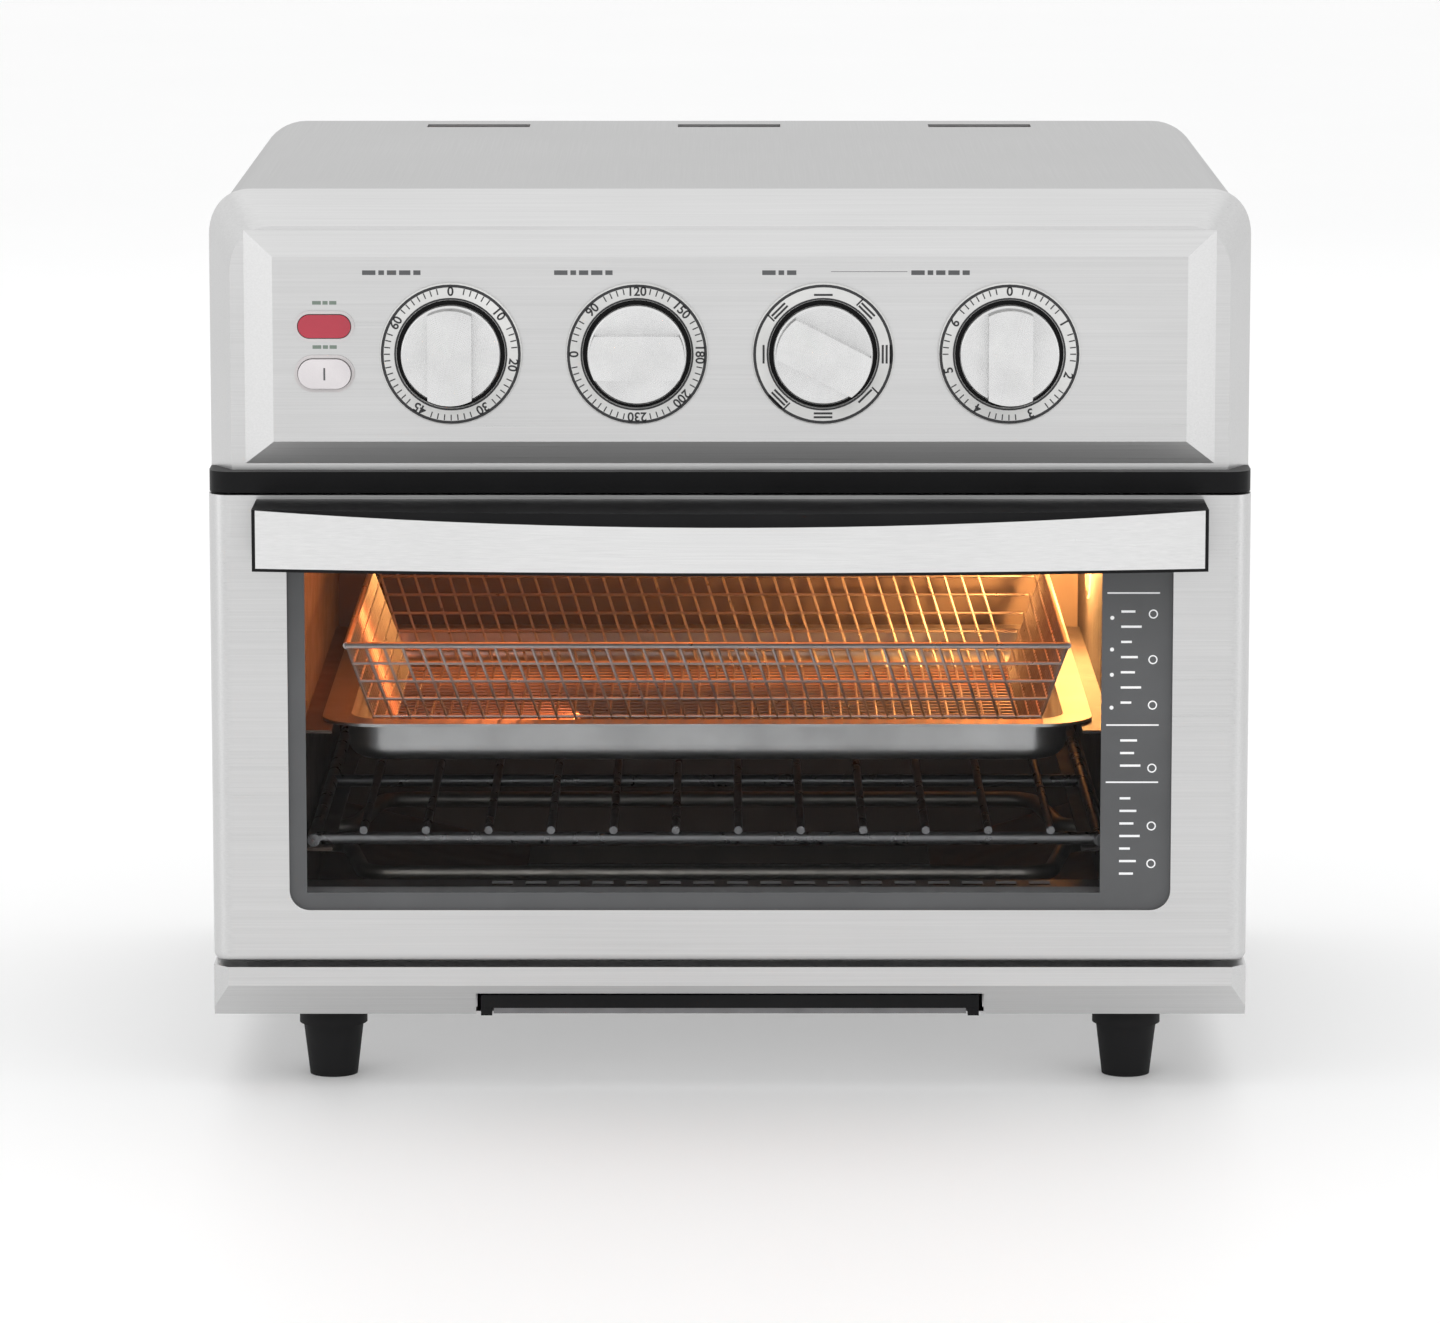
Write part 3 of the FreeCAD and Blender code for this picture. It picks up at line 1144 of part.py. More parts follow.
def fan():
    fan_grille()
    fan_plenum()
    bladed("fan_impeller", "impeller_radius", "impeller_height", "impeller_top", IMPELLER_BLADES)
    bladed("cooling_fan", "cooler_radius", "cooler_height",
           "plenum_top + cooler_gap + cooler_height", COOLER_BLADES)
    start = "impeller_top - impeller_height"
    node("fan_shaft", rod("z", "shaft_radius", "fan_x", "fan_place", start,
                          f"bridge_top + motor_height - motor_cap - slip - ({start})"))
    plate = box(across("bridge_half", "fan_x"), across("bridge_width / 2", "fan_place"),
                ("bridge_top - bracket_sheet", "bridge_top"))
    legs = [box(x, across("bridge_width / 2", "fan_place"), ("plenum_top", "bridge_top"))
            for x in (("fan_x - bridge_half", "fan_x - bridge_half + bracket_sheet"),
                      ("fan_x + bridge_half - bracket_sheet", "fan_x + bridge_half"))]
    way = rod("z", "shaft_radius + shaft_room", "fan_x", "fan_place", "bridge_top - shell",
              "2 * shell")
    node("motor_bracket", cut(fuse(plate, *legs), way))
    stator = rod("z", "motor_radius", "fan_x", "fan_place", "bridge_top", "motor_height")
    bearing = rod("z", "shaft_radius + slip", "fan_x", "fan_place", f"bridge_top - {HIDDEN}",
                  f"motor_height - motor_cap + {HIDDEN}")
    node("fan_motor", cut(rounded(stator, "shell", lambda e: near(e.BoundBox.ZMin,
         "bridge_top + motor_height")), bearing))


def build():
    base_pan()
    front_skirt()
    feet()
    outer_wrap()
    back_panel()
    back_fittings()
    fascia()
    trim_band()
    front_frame()
    dial_rings()
    for name, x in zip(KNOBS, dial_places()):
        knob(name, x)
        control(name, x)
    control_bracket()
    lens_and_button()
    door_frame()
    door_glass()
    door_liner()
    handle()
    hinges()
    cavity_shell()
    heaters()
    lamp()
    baking_pan()
    air_basket()
    wire_rack()
    crumb_tray()
    fan()


def check():
    doc.recompute()
    for thing in doc.Objects:
        failed = {"Invalid", "Error"} & set(thing.State)
        assert not failed, f"{thing.Label} ({thing.Name}) failed: {thing.State}"
    for name, thing in NODES.items():
        shape = thing.Shape
        assert not shape.isNull() and shape.isValid(), f"{name} has no valid shape"
        assert shape.Solids, f"{name} has no solid"
        assert all(solid.Volume > 0 for solid in shape.Solids), f"{name} is inside out"


build()
check()
os.makedirs("parts", exist_ok=True)
for name, thing in NODES.items():
    thing.Shape.exportStep(f"parts/{name}.step")
    box_ = thing.Shape.BoundBox
    print(f"{name}: {len(thing.Shape.Solids)} solid(s), {thing.Shape.Volume / 1000:.2f} cm3, "
          f"x {box_.XMin:.1f}..{box_.XMax:.1f} y {box_.YMin:.1f}..{box_.YMax:.1f} "
          f"z {box_.ZMin:.1f}..{box_.ZMax:.1f}")
print(len(NODES), "nodes")
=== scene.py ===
import math

import bmesh
import bpy
from mathutils import Matrix, Vector


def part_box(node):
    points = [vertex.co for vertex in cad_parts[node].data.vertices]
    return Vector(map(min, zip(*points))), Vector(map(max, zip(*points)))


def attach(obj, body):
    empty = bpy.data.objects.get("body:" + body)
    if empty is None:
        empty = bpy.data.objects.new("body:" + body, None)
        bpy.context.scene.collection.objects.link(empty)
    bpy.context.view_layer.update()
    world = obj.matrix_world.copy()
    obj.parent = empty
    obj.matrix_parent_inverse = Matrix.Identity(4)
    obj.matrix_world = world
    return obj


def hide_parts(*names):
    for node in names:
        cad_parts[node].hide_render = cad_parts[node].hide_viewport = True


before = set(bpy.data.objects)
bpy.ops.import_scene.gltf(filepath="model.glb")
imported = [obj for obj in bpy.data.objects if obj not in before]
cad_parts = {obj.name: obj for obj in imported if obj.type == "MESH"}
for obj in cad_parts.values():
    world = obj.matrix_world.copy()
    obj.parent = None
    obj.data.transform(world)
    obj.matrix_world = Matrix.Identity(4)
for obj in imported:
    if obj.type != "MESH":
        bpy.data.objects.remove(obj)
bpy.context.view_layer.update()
MM = 0.001

# ---- finishes

HAIRS_PER_METRE, STREAKS_PER_METRE = 1800, 9
RINGS_PER_METRE = 400


def finish_called(name, **values):
    """A new material, its shader's sockets set by name with spaces as underscores."""
    made = bpy.data.materials.new(name)
    made.use_nodes = True
    shader = made.node_tree.nodes["Principled BSDF"]
    for socket, value in values.items():
        shader.inputs[socket.replace("_", " ")].default_value = value
    return made


def node(made, kind, **values):
    added = made.node_tree.nodes.new(kind)
    for key, value in values.items():
        if hasattr(added, key):
            setattr(added, key, value)
        else:
            added.inputs[key.replace("_", " ")].default_value = value
    return added


def join(made, out, into):
    made.node_tree.links.new(out, into)


def shader_of(made):
    return made.node_tree.nodes["Principled BSDF"]


def places(made, stretch=(1, 1, 1), centre=(0, 0, 0)):
    """Where a point of the piece is, in metres times stretch, measured from centre."""
    spot = node(made, "ShaderNodeTexCoord")
    lay = node(made, "ShaderNodeMapping")
    lay.inputs["Scale"].default_value = stretch
    lay.inputs["Location"].default_value = [-c * s for c, s in zip(centre, stretch)]
    join(made, spot.outputs["Object"], lay.inputs["Vector"])
    return lay.outputs["Vector"]


def grain(made, stretch, detail=3, rough=0.6, centre=(0, 0, 0)):
    """Noise whose marks are 1 / stretch metres across."""
    cloud = node(made, "ShaderNodeTexNoise", Scale=1, Detail=detail, Roughness=rough)
    join(made, places(made, stretch, centre), cloud.inputs["Vector"])
    return cloud.outputs["Fac"]


def ramp(made, factor, low, high, start=0.3, end=0.7):
    """A value or a colour that goes from low to high as the factor goes from start to end."""
    if isinstance(low, (int, float)):
        span = node(made, "ShaderNodeMapRange")
        for key, value in (("From Min", start), ("From Max", end), ("To Min", low), ("To Max", high)):
            span.inputs[key].default_value = value
        join(made, factor, span.inputs["Value"])
        return span.outputs["Result"]
    span = node(made, "ShaderNodeValToRGB")
    stops = span.color_ramp.elements
    stops[0].position, stops[1].position = start, end
    stops[0].color, stops[1].color = (*low, 1), (*high, 1)
    join(made, factor, span.inputs["Fac"])
    return span.outputs["Color"]


def relief(made, height, depth, strength=1.0):
    """Bump of this depth in metres."""
    raised = node(made, "ShaderNodeBump", Strength=strength, Distance=depth)
    join(made, height, raised.inputs["Height"])
    join(made, raised.outputs["Normal"], shader_of(made).inputs["Normal"])


def grey(level):
    return level, level, level


def brushed(name, level, along, roughness=(0.26, 0.4), depth=0.02 * MM):
    """Sheet steel brushed along one axis: hair-fine streaks with soft smears between them."""
    made = finish_called(name, Metallic=1.0)
    shader = shader_of(made)
    fine = [HAIRS_PER_METRE] * 3
    fine["xyz".index(along)] = STREAKS_PER_METRE
    streaks = grain(made, fine, detail=4)
    smears = grain(made, (7, 7, 11), detail=2)
    blend = node(made, "ShaderNodeMix", data_type="FLOAT")
    blend.inputs[0].default_value = 0.35
    join(made, streaks, blend.inputs[2])
    join(made, smears, blend.inputs[3])
    join(made, ramp(made, blend.outputs[0], grey(level * 0.9), grey(level * 1.06)),
         shader.inputs["Base Color"])
    join(made, ramp(made, blend.outputs[0], *roughness), shader.inputs["Roughness"])
    relief(made, streaks, depth)
    return made


def painted_sheen_underneath(made, shine):
    """Duller, half-diffuse metal on the faces that look down: painted reflection, which makes those faces
    look lighter.
    """
    spot = node(made, "ShaderNodeTexCoord")
    split = node(made, "ShaderNodeSeparateXYZ")
    join(made, spot.outputs["Normal"], split.inputs["Vector"])
    join(made, ramp(made, split.outputs["Z"], shine, 1.0, -0.5, -0.3), shader_of(made).inputs["Metallic"])


def turned_metal(name, level, centre):
    """A turned metal face: fine rings round its own centre, seen from the front."""
    made = finish_called(name, Metallic=1.0)
    rings = node(made, "ShaderNodeTexWave", wave_type="RINGS", rings_direction="Y", Scale=1,
                 Distortion=0.1, Detail=2.0)
    join(made, places(made, (RINGS_PER_METRE,) * 3, centre), rings.inputs["Vector"])
    haze = grain(made, (60, 60, 60))
    join(made, ramp(made, haze, grey(level * 0.92), grey(level * 1.04)),
         shader_of(made).inputs["Base Color"])
    join(made, ramp(made, rings.outputs["Fac"], 0.24, 0.36, 0, 1), shader_of(made).inputs["Roughness"])
    relief(made, rings.outputs["Fac"], 0.01 * MM, 0.4)
    return made


def moulded(name, colour, roughness, pitch=900, depth=0.04 * MM, **values):
    """Plastic, rubber or print with a fine moulded grain, pitch grains a metre, and faint wear."""
    made = finish_called(name, **values)
    pebble = grain(made, (pitch, pitch, pitch), detail=2)
    wear = grain(made, (24, 24, 24), detail=4)
    light = [min(1, c * 1.25 + 0.003) for c in colour]
    join(made, ramp(made, wear, colour, light), shader_of(made).inputs["Base Color"])
    join(made, ramp(made, wear, roughness, roughness + 0.12), shader_of(made).inputs["Roughness"])
    relief(made, pebble, depth)
    return made


def plated(name, colour, roughness, pitch=70, depth=0.03 * MM, metal=1.0):
    """Plain metal with soft spots of dulling, pitch spots a metre."""
    made = finish_called(name, Metallic=metal)
    spots = grain(made, (pitch, pitch, pitch), detail=5)
    dark = [c * 0.8 for c in colour]
    join(made, ramp(made, spots, dark, colour), shader_of(made).inputs["Base Color"])
    join(made, ramp(made, spots, roughness + 0.12, roughness), shader_of(made).inputs["Roughness"])
    relief(made, grain(made, (pitch * 9,) * 3), depth)
    return made


def spangled(name, level, cell=9 * MM):
    """Hot-dipped zinc: flat crystals a few millimetres across, each a little lighter or duller."""
    made = finish_called(name, Metallic=1.0)
    cells = node(made, "ShaderNodeTexVoronoi", Scale=1)
    join(made, places(made, (1 / cell,) * 3), cells.inputs["Vector"])
    split = node(made, "ShaderNodeSeparateColor")
    join(made, cells.outputs["Color"], split.inputs["Color"])
    join(made, ramp(made, split.outputs["Red"], grey(level * 0.93), grey(level * 1.05), 0, 1),
         shader_of(made).inputs["Base Color"])
    join(made, ramp(made, split.outputs["Green"], 0.32, 0.48, 0, 1), shader_of(made).inputs["Roughness"])
    relief(made, grain(made, (500, 500, 500)), 0.02 * MM)
    return made


def pane(name, tint, roughness, clear=0.8, bend=1.45):
    """Glass that lets lamps shine through it; a low bend stands for a coating that cuts glare."""
    made = finish_called(name, Base_Color=(*tint, 1), Roughness=roughness, IOR=bend,
                         Transmission_Weight=1.0)
    shader = shader_of(made)
    smudge = grain(made, (16, 16, 22), detail=4)
    join(made, ramp(made, smudge, roughness, roughness + 0.03, 0.45, 0.8), shader.inputs["Roughness"])
    through = node(made, "ShaderNodeBsdfTransparent")
    through.inputs["Color"].default_value = (clear, clear, clear, 1)
    rays = node(made, "ShaderNodeLightPath")
    mix = node(made, "ShaderNodeMixShader")
    join(made, rays.outputs["Is Shadow Ray"], mix.inputs["Fac"])
    join(made, shader.outputs["BSDF"], mix.inputs[1])
    join(made, through.outputs["BSDF"], mix.inputs[2])
    join(made, mix.outputs["Shader"], made.node_tree.nodes["Material Output"].inputs["Surface"])
    return made


def glowing(name, colour, cool, strength):
    """A hot or lit surface: brighter and dimmer patches along it."""
    made = finish_called(name, Roughness=0.5, Emission_Color=(*colour, 1))
    patches = grain(made, (30, 30, 30), detail=3)
    join(made, ramp(made, patches, cool, colour), shader_of(made).inputs["Base Color"])
    join(made, ramp(made, patches, strength * 0.7, strength), shader_of(made).inputs["Emission Strength"])
    return made


front_steel = brushed("front_steel", 0.6, "x")
panel_steel = brushed("panel_steel", 0.6, "x")
# Painted reflection: the fascia's faces that look down are half diffuse, so they look lighter.
painted_sheen_underneath(panel_steel, 0.35)
casing_steel = brushed("casing_steel", 0.36, "y", roughness=(0.34, 0.48))
handle_steel = brushed("handle_steel", 0.72, "x", roughness=(0.18, 0.28))
oven_steel = plated("oven_steel", (0.12, 0.085, 0.065), 0.45, metal=0.45)
# Painted shade: the right cavity wall gets a darker copy of the oven steel.
shaded_oven_steel = plated("shaded_oven_steel", (0.045, 0.036, 0.033), 0.5, metal=0.35)
zinc = spangled("zinc", 0.6)
tray_steel = plated("tray_steel", (0.21, 0.21, 0.215), 0.36, pitch=60)
black = moulded("black_plastic", (0.004, 0.004, 0.0045), 0.36, Specular_IOR_Level=0.14)
rubber = moulded("foot_rubber", (0.006, 0.006, 0.0065), 0.62, pitch=500, Specular_IOR_Level=0.2)
dial_white = moulded("dial_white", (0.62, 0.62, 0.61), 0.38, pitch=700)
ink = moulded("dark_ink", (0.02, 0.02, 0.022), 0.5, pitch=1500, depth=0.01 * MM)
grey_ink = moulded("grey_ink", (0.075, 0.077, 0.08), 0.42, pitch=1500, depth=0.01 * MM)
white_ink = moulded("white_ink", (0.8, 0.82, 0.84), 0.5, pitch=1500, depth=0.01 * MM)
green_ink = moulded("green_grey_ink", (0.15, 0.19, 0.16), 0.5, pitch=1500, depth=0.01 * MM)
clear_glass = pane("oven_glass", (0.84, 0.845, 0.85), 0.0, clear=0.5, bend=1.14)
lamp_glass = pane("frosted_lamp_glass", (1.0, 0.93, 0.82), 0.25, clear=1.0)
red_glass = moulded("red_lens", (0.36, 0.008, 0.03), 0.12, pitch=300, depth=0.03 * MM,
                    Coat_Weight=0.6)
button_white = moulded("button_white", (0.6, 0.57, 0.58), 0.3, pitch=900)
bezel_grey = moulded("bezel_grey", (0.5, 0.48, 0.48), 0.3, pitch=900)
pan_metal = plated("pan_metal", (0.5, 0.5, 0.5), 0.3, pitch=30)
chrome = plated("chrome_wire", (0.2, 0.2, 0.205), 0.24, pitch=120, depth=0.004 * MM)
mesh_wire = plated("basket_wire", (0.6, 0.54, 0.52), 0.26, pitch=160, depth=0.004 * MM)
hot_sheath = glowing("hot_heater", (1.0, 0.22, 0.03), (0.25, 0.08, 0.03), 2.5)
cold_sheath = plated("heater_sheath", (0.35, 0.33, 0.3), 0.35, pitch=90)
ceramic = moulded("ceramic", (0.75, 0.73, 0.68), 0.55, pitch=400)
bright_steel = plated("bright_steel", (0.7, 0.7, 0.71), 0.2, pitch=140)
fan_metal = plated("fan_metal", (0.62, 0.62, 0.63), 0.3, pitch=60)
motor_iron = plated("motor_iron", (0.2, 0.19, 0.18), 0.45, pitch=80)
lamp_glow = glowing("lamp_glow", (1.0, 0.62, 0.25), (1.0, 0.55, 0.2), 12.0)

FINISHES = {
    front_steel: ("door_frame", "front_skirt", "front_frame"),
    panel_steel: ("fascia",),
    casing_steel: ("outer_wrap",),
    handle_steel: ("handle_plate",),
    zinc: ("back_panel", "base_pan", "control_bracket", "motor_bracket", "lamp_socket"),
    tray_steel: ("crumb_tray", "door_liner"),
    # Painted shade on the right wall.
    shaded_oven_steel: ("cavity_right",),
    oven_steel: ("cavity_left", "cavity_rear", "cavity_ceiling", "cavity_floor",
                 "fan_grille", "fan_plenum"),
    black: ("trim_band", "handle_core", "back_spacers", "cord_gland", "oven_timer", "thermostat",
            "function_switch", "toast_timer", "light_switch"),
    rubber: ("feet",),
    dial_white: ("dial_rings",),
    clear_glass: ("door_glass",),
    red_glass: ("power_lens",),
    button_white: ("light_button",),
    bezel_grey: ("pill_bezels",),
    pan_metal: ("baking_pan",),
    chrome: ("wire_rack",),
    hot_sheath: ("upper_heaters",),
    cold_sheath: ("lower_heaters",),
    ceramic: ("insulators",),
    bright_steel: ("hinge_arms", "hinge_pins", "door_springs", "rear_screws", "fan_shaft",
                   "oven_timer_shaft", "thermostat_shaft", "function_switch_shaft",
                   "toast_timer_shaft"),
    fan_metal: ("fan_impeller", "cooling_fan"),
    motor_iron: ("fan_motor",),
    lamp_glass: ("lamp_lens",),
    lamp_glow: ("lamp_bulb",),
}

# ---- shaping


def piece(name, work, made, body):
    """Turns finished work into a piece that rides on a body."""
    bmesh.ops.remove_doubles(work, verts=work.verts, dist=0.001 * MM)
    bmesh.ops.recalc_face_normals(work, faces=work.faces)
    mesh = bpy.data.meshes.new(name)
    work.to_mesh(mesh)
    work.free()
    return placed(name, mesh, made, body)


def placed(name, mesh, made, body):
    """Gives a mesh its object, finish, body and slot."""
    thing = bpy.data.objects.new(name, mesh)
    bpy.context.scene.collection.objects.link(thing)
    mesh.materials.clear()
    mesh.materials.append(made)
    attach(thing, body)
    return thing


def slab(work, low, high):
    """A block between two corners."""
    low, high = Vector(low), Vector(high)
    verts = bmesh.ops.create_cube(work, size=1)["verts"]
    bmesh.ops.scale(work, vec=high - low, verts=verts)
    bmesh.ops.translate(work, vec=(low + high) / 2, verts=verts)
    return verts


def wire(work, points, radius, closed=False, sides=6):
    """A round wire along straight runs, one short tube a run."""
    ends = points[1:] + points[:1] if closed else points[1:]
    for start, end in zip(points, ends):
        start, end = Vector(start), Vector(end)
        along = end - start
        lie = along.to_track_quat("Z", "Y").to_matrix().to_4x4()
        bmesh.ops.create_cone(work, cap_ends=True, segments=sides, radius1=radius, radius2=radius,
                              depth=along.length + radius,
                              matrix=Matrix.Translation((start + end) / 2) @ lie)


def washer(work, centre, inner, outer, front, thick):
    """A flat ring facing the front, centre an (x, z) pair."""
    axis = Vector((centre[0], 0, centre[1]))
    corners = [work.verts.new((centre[0] + r, y, centre[1]))
               for r, y in ((inner, front), (outer, front), (outer, front + thick),
                            (inner, front + thick))]
    edges = [work.edges.new((a, b)) for a, b in zip(corners, corners[1:] + corners[:1])]
    bmesh.ops.spin(work, geom=corners + edges, cent=axis, axis=(0, 1, 0), angle=math.tau, steps=64,
                   use_merge=True)


def lettering(words, size, centre, front, made, body, name, turn=0.0):
    """Raised print facing the front: converted to mesh, then stood up at its place."""
    curve = bpy.data.curves.new(name, "FONT")
    curve.body, curve.size, curve.extrude = words, size, PRINT
    curve.align_x, curve.align_y = "CENTER", "CENTER"
    curve.offset, curve.resolution_u = 0.02 * size, 4
    source = bpy.data.objects.new(name + "_curve", curve)
    mesh = bpy.data.meshes.new_from_object(source)
    bpy.data.objects.remove(source)
    mesh.transform(Matrix.Translation((centre[0], front, centre[1]))
                   @ Matrix.Rotation(turn, 4, "Y") @ Matrix.Rotation(math.radians(90), 4, "X"))
    return placed(name, mesh, made, body)


# ---- places and sizes that several pieces share

PRINT = 0.05 * MM
KNOB_RADIUS = 19.2 * MM
RING_BORE = 21 * MM
KNOBS = ("oven_timer", "thermostat", "function_switch", "toast_timer")

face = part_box("fascia")[0].y
rings_low, rings_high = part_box("dial_rings")
ring_face = rings_low.y
dial_z = (rings_low.z + rings_high.z) / 2
dial_radius = (rings_high.z - rings_low.z) / 2
ring_middle = (dial_radius + RING_BORE) / 2
dial_x = {}
for name in KNOBS:
    low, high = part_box(name + "_knob")
    dial_x[name] = (low.x + high.x) / 2

for made, names in FINISHES.items():
    for name in names:
        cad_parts[name].material_slots[0].material = made
for name, x in dial_x.items():
    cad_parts[name + "_knob"].material_slots[0].material = turned_metal(
        name + "_knob_metal", 0.68, (x, 0, dial_z))

# ---- crumb tray and base

# Painted shade in the gaps round the crumb tray's front lip: a black bar and two legs.
GAP_SHADE_HALF_WIDTH, GAP_SHADE_LEG = 98 * MM, 4.4 * MM
GAP_SHADE_TOP, GAP_SHADE_UNDER, GAP_SHADE_FOOT = 38.9 * MM, 33.8 * MM, 30.8 * MM
GAP_SHADE_AHEAD, GAP_SHADE_BEHIND = 1.2 * MM, 3 * MM
BAFFLE_HALF_WIDTH, BAFFLE_RISE = 100 * MM, 16 * MM


def crumb_tray_gap_shade():
    """Painted shade: a black bar and its two legs in front of the crumb tray, inside the notch, for the
    shadowed gaps above and beside the tray's front lip.
    """
    tray_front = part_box("crumb_tray")[0].y
    front, back = tray_front - GAP_SHADE_AHEAD, tray_front + GAP_SHADE_BEHIND
    work = bmesh.new()
    slab(work, (-GAP_SHADE_HALF_WIDTH, front, GAP_SHADE_UNDER), (GAP_SHADE_HALF_WIDTH, back, GAP_SHADE_TOP))
    for left in (-GAP_SHADE_HALF_WIDTH, GAP_SHADE_HALF_WIDTH - GAP_SHADE_LEG):
        slab(work, (left, front, GAP_SHADE_FOOT), (left + GAP_SHADE_LEG, back, GAP_SHADE_UNDER + 0.1 * MM))
    piece("crumb_tray_gap_shade", work, black, "crumb_tray")


def rear_flange():
    """The base's upturned rear edge, which closes the seam under the back panel."""
    low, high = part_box("base_pan")
    work = bmesh.new()
    slab(work, (low.x, high.y - 0.2 * MM, low.z), (high.x, high.y + 0.8 * MM, low.z + 5 * MM))
    piece("base_rear_flange", work, zinc, "oven")


def tray_baffle():
    """A dark sheet standing on the base behind the crumb tray, in front of the rear edge."""
    low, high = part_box("base_pan")
    work = bmesh.new()
    slab(work, (-BAFFLE_HALF_WIDTH, high.y - 1.6 * MM, low.z + 1.1 * MM),
         (BAFFLE_HALF_WIDTH, high.y - 0.8 * MM, high.z + BAFFLE_RISE))
    piece("tray_baffle", work, oven_steel, "oven")


# ---- wire basket

WIRE_PITCH = 7.4 * MM
THIN_WIRE, RIM_WIRE = 0.62 * MM, 1.3 * MM
BASKET_SLOPE = 15 * MM


def spread(start, end):
    """Evenly spaced stations from start to end, a wire pitch apart or nearly so."""
    count = round((end - start) / WIRE_PITCH)
    return [start + (end - start) * n / count for n in range(count + 1)]


def air_basket():
    """The basket: U-shaped wires both ways, hoops round its sloping walls and a thick rim."""
    low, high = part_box("air_basket")
    low = low + Vector((RIM_WIRE, RIM_WIRE, THIN_WIRE))
    high = high - Vector((RIM_WIRE, RIM_WIRE, RIM_WIRE))
    inward = Vector((BASKET_SLOPE, BASKET_SLOPE, 0))
    foot_low, foot_high = low + inward, high - inward
    work = bmesh.new()
    for x, foot in zip(spread(low.x, high.x), spread(foot_low.x, foot_high.x)):
        wire(work, [(x, low.y, high.z), (foot, foot_low.y, low.z), (foot, foot_high.y, low.z),
                    (x, high.y, high.z)], THIN_WIRE)
    for y, foot in zip(spread(low.y, high.y), spread(foot_low.y, foot_high.y)):
        wire(work, [(low.x, y, high.z), (foot_low.x, foot, low.z), (foot_high.x, foot, low.z),
                    (high.x, y, high.z)], THIN_WIRE)
    for z in spread(low.z, high.z):
        at = BASKET_SLOPE * (high.z - z) / (high.z - low.z)
        hoop = [(low.x + at, low.y + at, z), (high.x - at, low.y + at, z),
                (high.x - at, high.y - at, z), (low.x + at, high.y - at, z)]
        wire(work, hoop, THIN_WIRE if z < high.z - THIN_WIRE else RIM_WIRE, closed=True, sides=8)
    made = piece("air_basket_wires", work, mesh_wire, "pan")
    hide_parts("air_basket")


# ---- dial prints: each mark's words and its place in degrees, clockwise from the top

TIMER_MARKS = (("0", 0), ("10", 50), ("20", 100), ("30", 150), ("45", 210), ("60", 300))
HEAT_MARKS = (("0", -90), ("90", -45), ("120", 0), ("150", 45), ("180", 90), ("200", 135), ("230", 180))
TOAST_MARKS = (("0", 0), ("1", 60), ("2", 110), ("3", 160), ("4", 210), ("5", 255), ("6", 300))
NUMBER_SIZE = 5 * MM
TICK_STEP, TICK_CLEAR = 6, 11
FUNCTION_STEP, ROW_PITCH = 45, 1.5


def ring_outlines(work, x):
    """Dark outlines at both edges of a dial's ring."""
    centre, front = (x, dial_z), ring_face - PRINT
    washer(work, centre, dial_radius - 1.5 * MM, dial_radius - 0.4 * MM, front, 2 * PRINT)
    washer(work, centre, RING_BORE + 0.2 * MM, RING_BORE + 0.9 * MM, front, 2 * PRINT)


def ring_bar(work, x, at, left, right, bottom, top):
    """A bar of print, its edges in millimetres from the ring's middle over the dial, swung by at."""
    middle = dial_z + ring_middle
    verts = slab(work, (x + left * MM, ring_face - PRINT, middle + bottom * MM),
                 (x + right * MM, ring_face + PRINT, middle + top * MM))
    bmesh.ops.rotate(work, verts=verts, cent=(x, 0, dial_z),
                     matrix=Matrix.Rotation(math.radians(at), 3, "Y"))


def dial_print(name, marks):
    """A dial's outlines, the numbers round it and the ticks between them."""
    x = dial_x[name]
    work = bmesh.new()
    ring_outlines(work, x)
    for at in range(0, 360, TICK_STEP):
        if all(abs((at - mark + 180) % 360 - 180) >= TICK_CLEAR for _, mark in marks):
            ring_bar(work, x, at, -0.22, 0.22, -0.7, 1.6)
    piece(name + "_ring_print", work, ink, "oven")
    for words, at in marks:
        turn = math.radians(at)
        spot = (x + ring_middle * math.sin(turn), dial_z + ring_middle * math.cos(turn))
        lettering(words, NUMBER_SIZE, spot, ring_face, ink, "oven",
                  f"{name}_number_{words}", turn)


def function_print():
    """Outlines, and groups of bars that stand for the ways of cooking."""
    x = dial_x["function_switch"]
    work = bmesh.new()
    ring_outlines(work, x)
    for step, at in enumerate(range(0, 360, FUNCTION_STEP)):
        for row in range(1 + step % 3):
            ring_bar(work, x, at, -3.6, 3.6, row * ROW_PITCH - 1.6, row * ROW_PITCH - 0.8)
        if step % 2:
            ring_bar(work, x, at, -4.6, -4.0, -1.8, 1.8)
    piece("function_ring_print", work, ink, "oven")


def dial_gap_shade():
    """Painted shade: a black ring on the fascia in the gap between each knob and its ring."""
    thick = 0.25 * MM
    work = bmesh.new()
    for x in dial_x.values():
        # Painted shade in the gap round each knob.
        washer(work, (x, dial_z), KNOB_RADIUS - 1.2 * MM, RING_BORE, face - thick, thick)
    piece("dial_gap_shade", work, black, "oven")


# ---- fascia prints, in millimetres

DASH_ROWS = ((-142.2, -115.9), (-68, -41.4), (12.4, 27.3), (70, 97.1))
DASH_WIDTHS = (5.2, 2.2, 3.6, 4.4, 2.8, 3.9, 5.0, 3.0)
DASH_GAP, DASH_RISE = 1.1, 31.4
PILL_DASHES = ((-4.6, -1.2), (-0.6, 1.4), (2.0, 4.8))
PILL_DASH_RISE = 4.6


def face_bar(work, left, right, bottom, top, front=face):
    """A bar of print on a flat front, between four edges in metres."""
    slab(work, (left, front - PRINT, bottom), (right, front + PRINT, top))


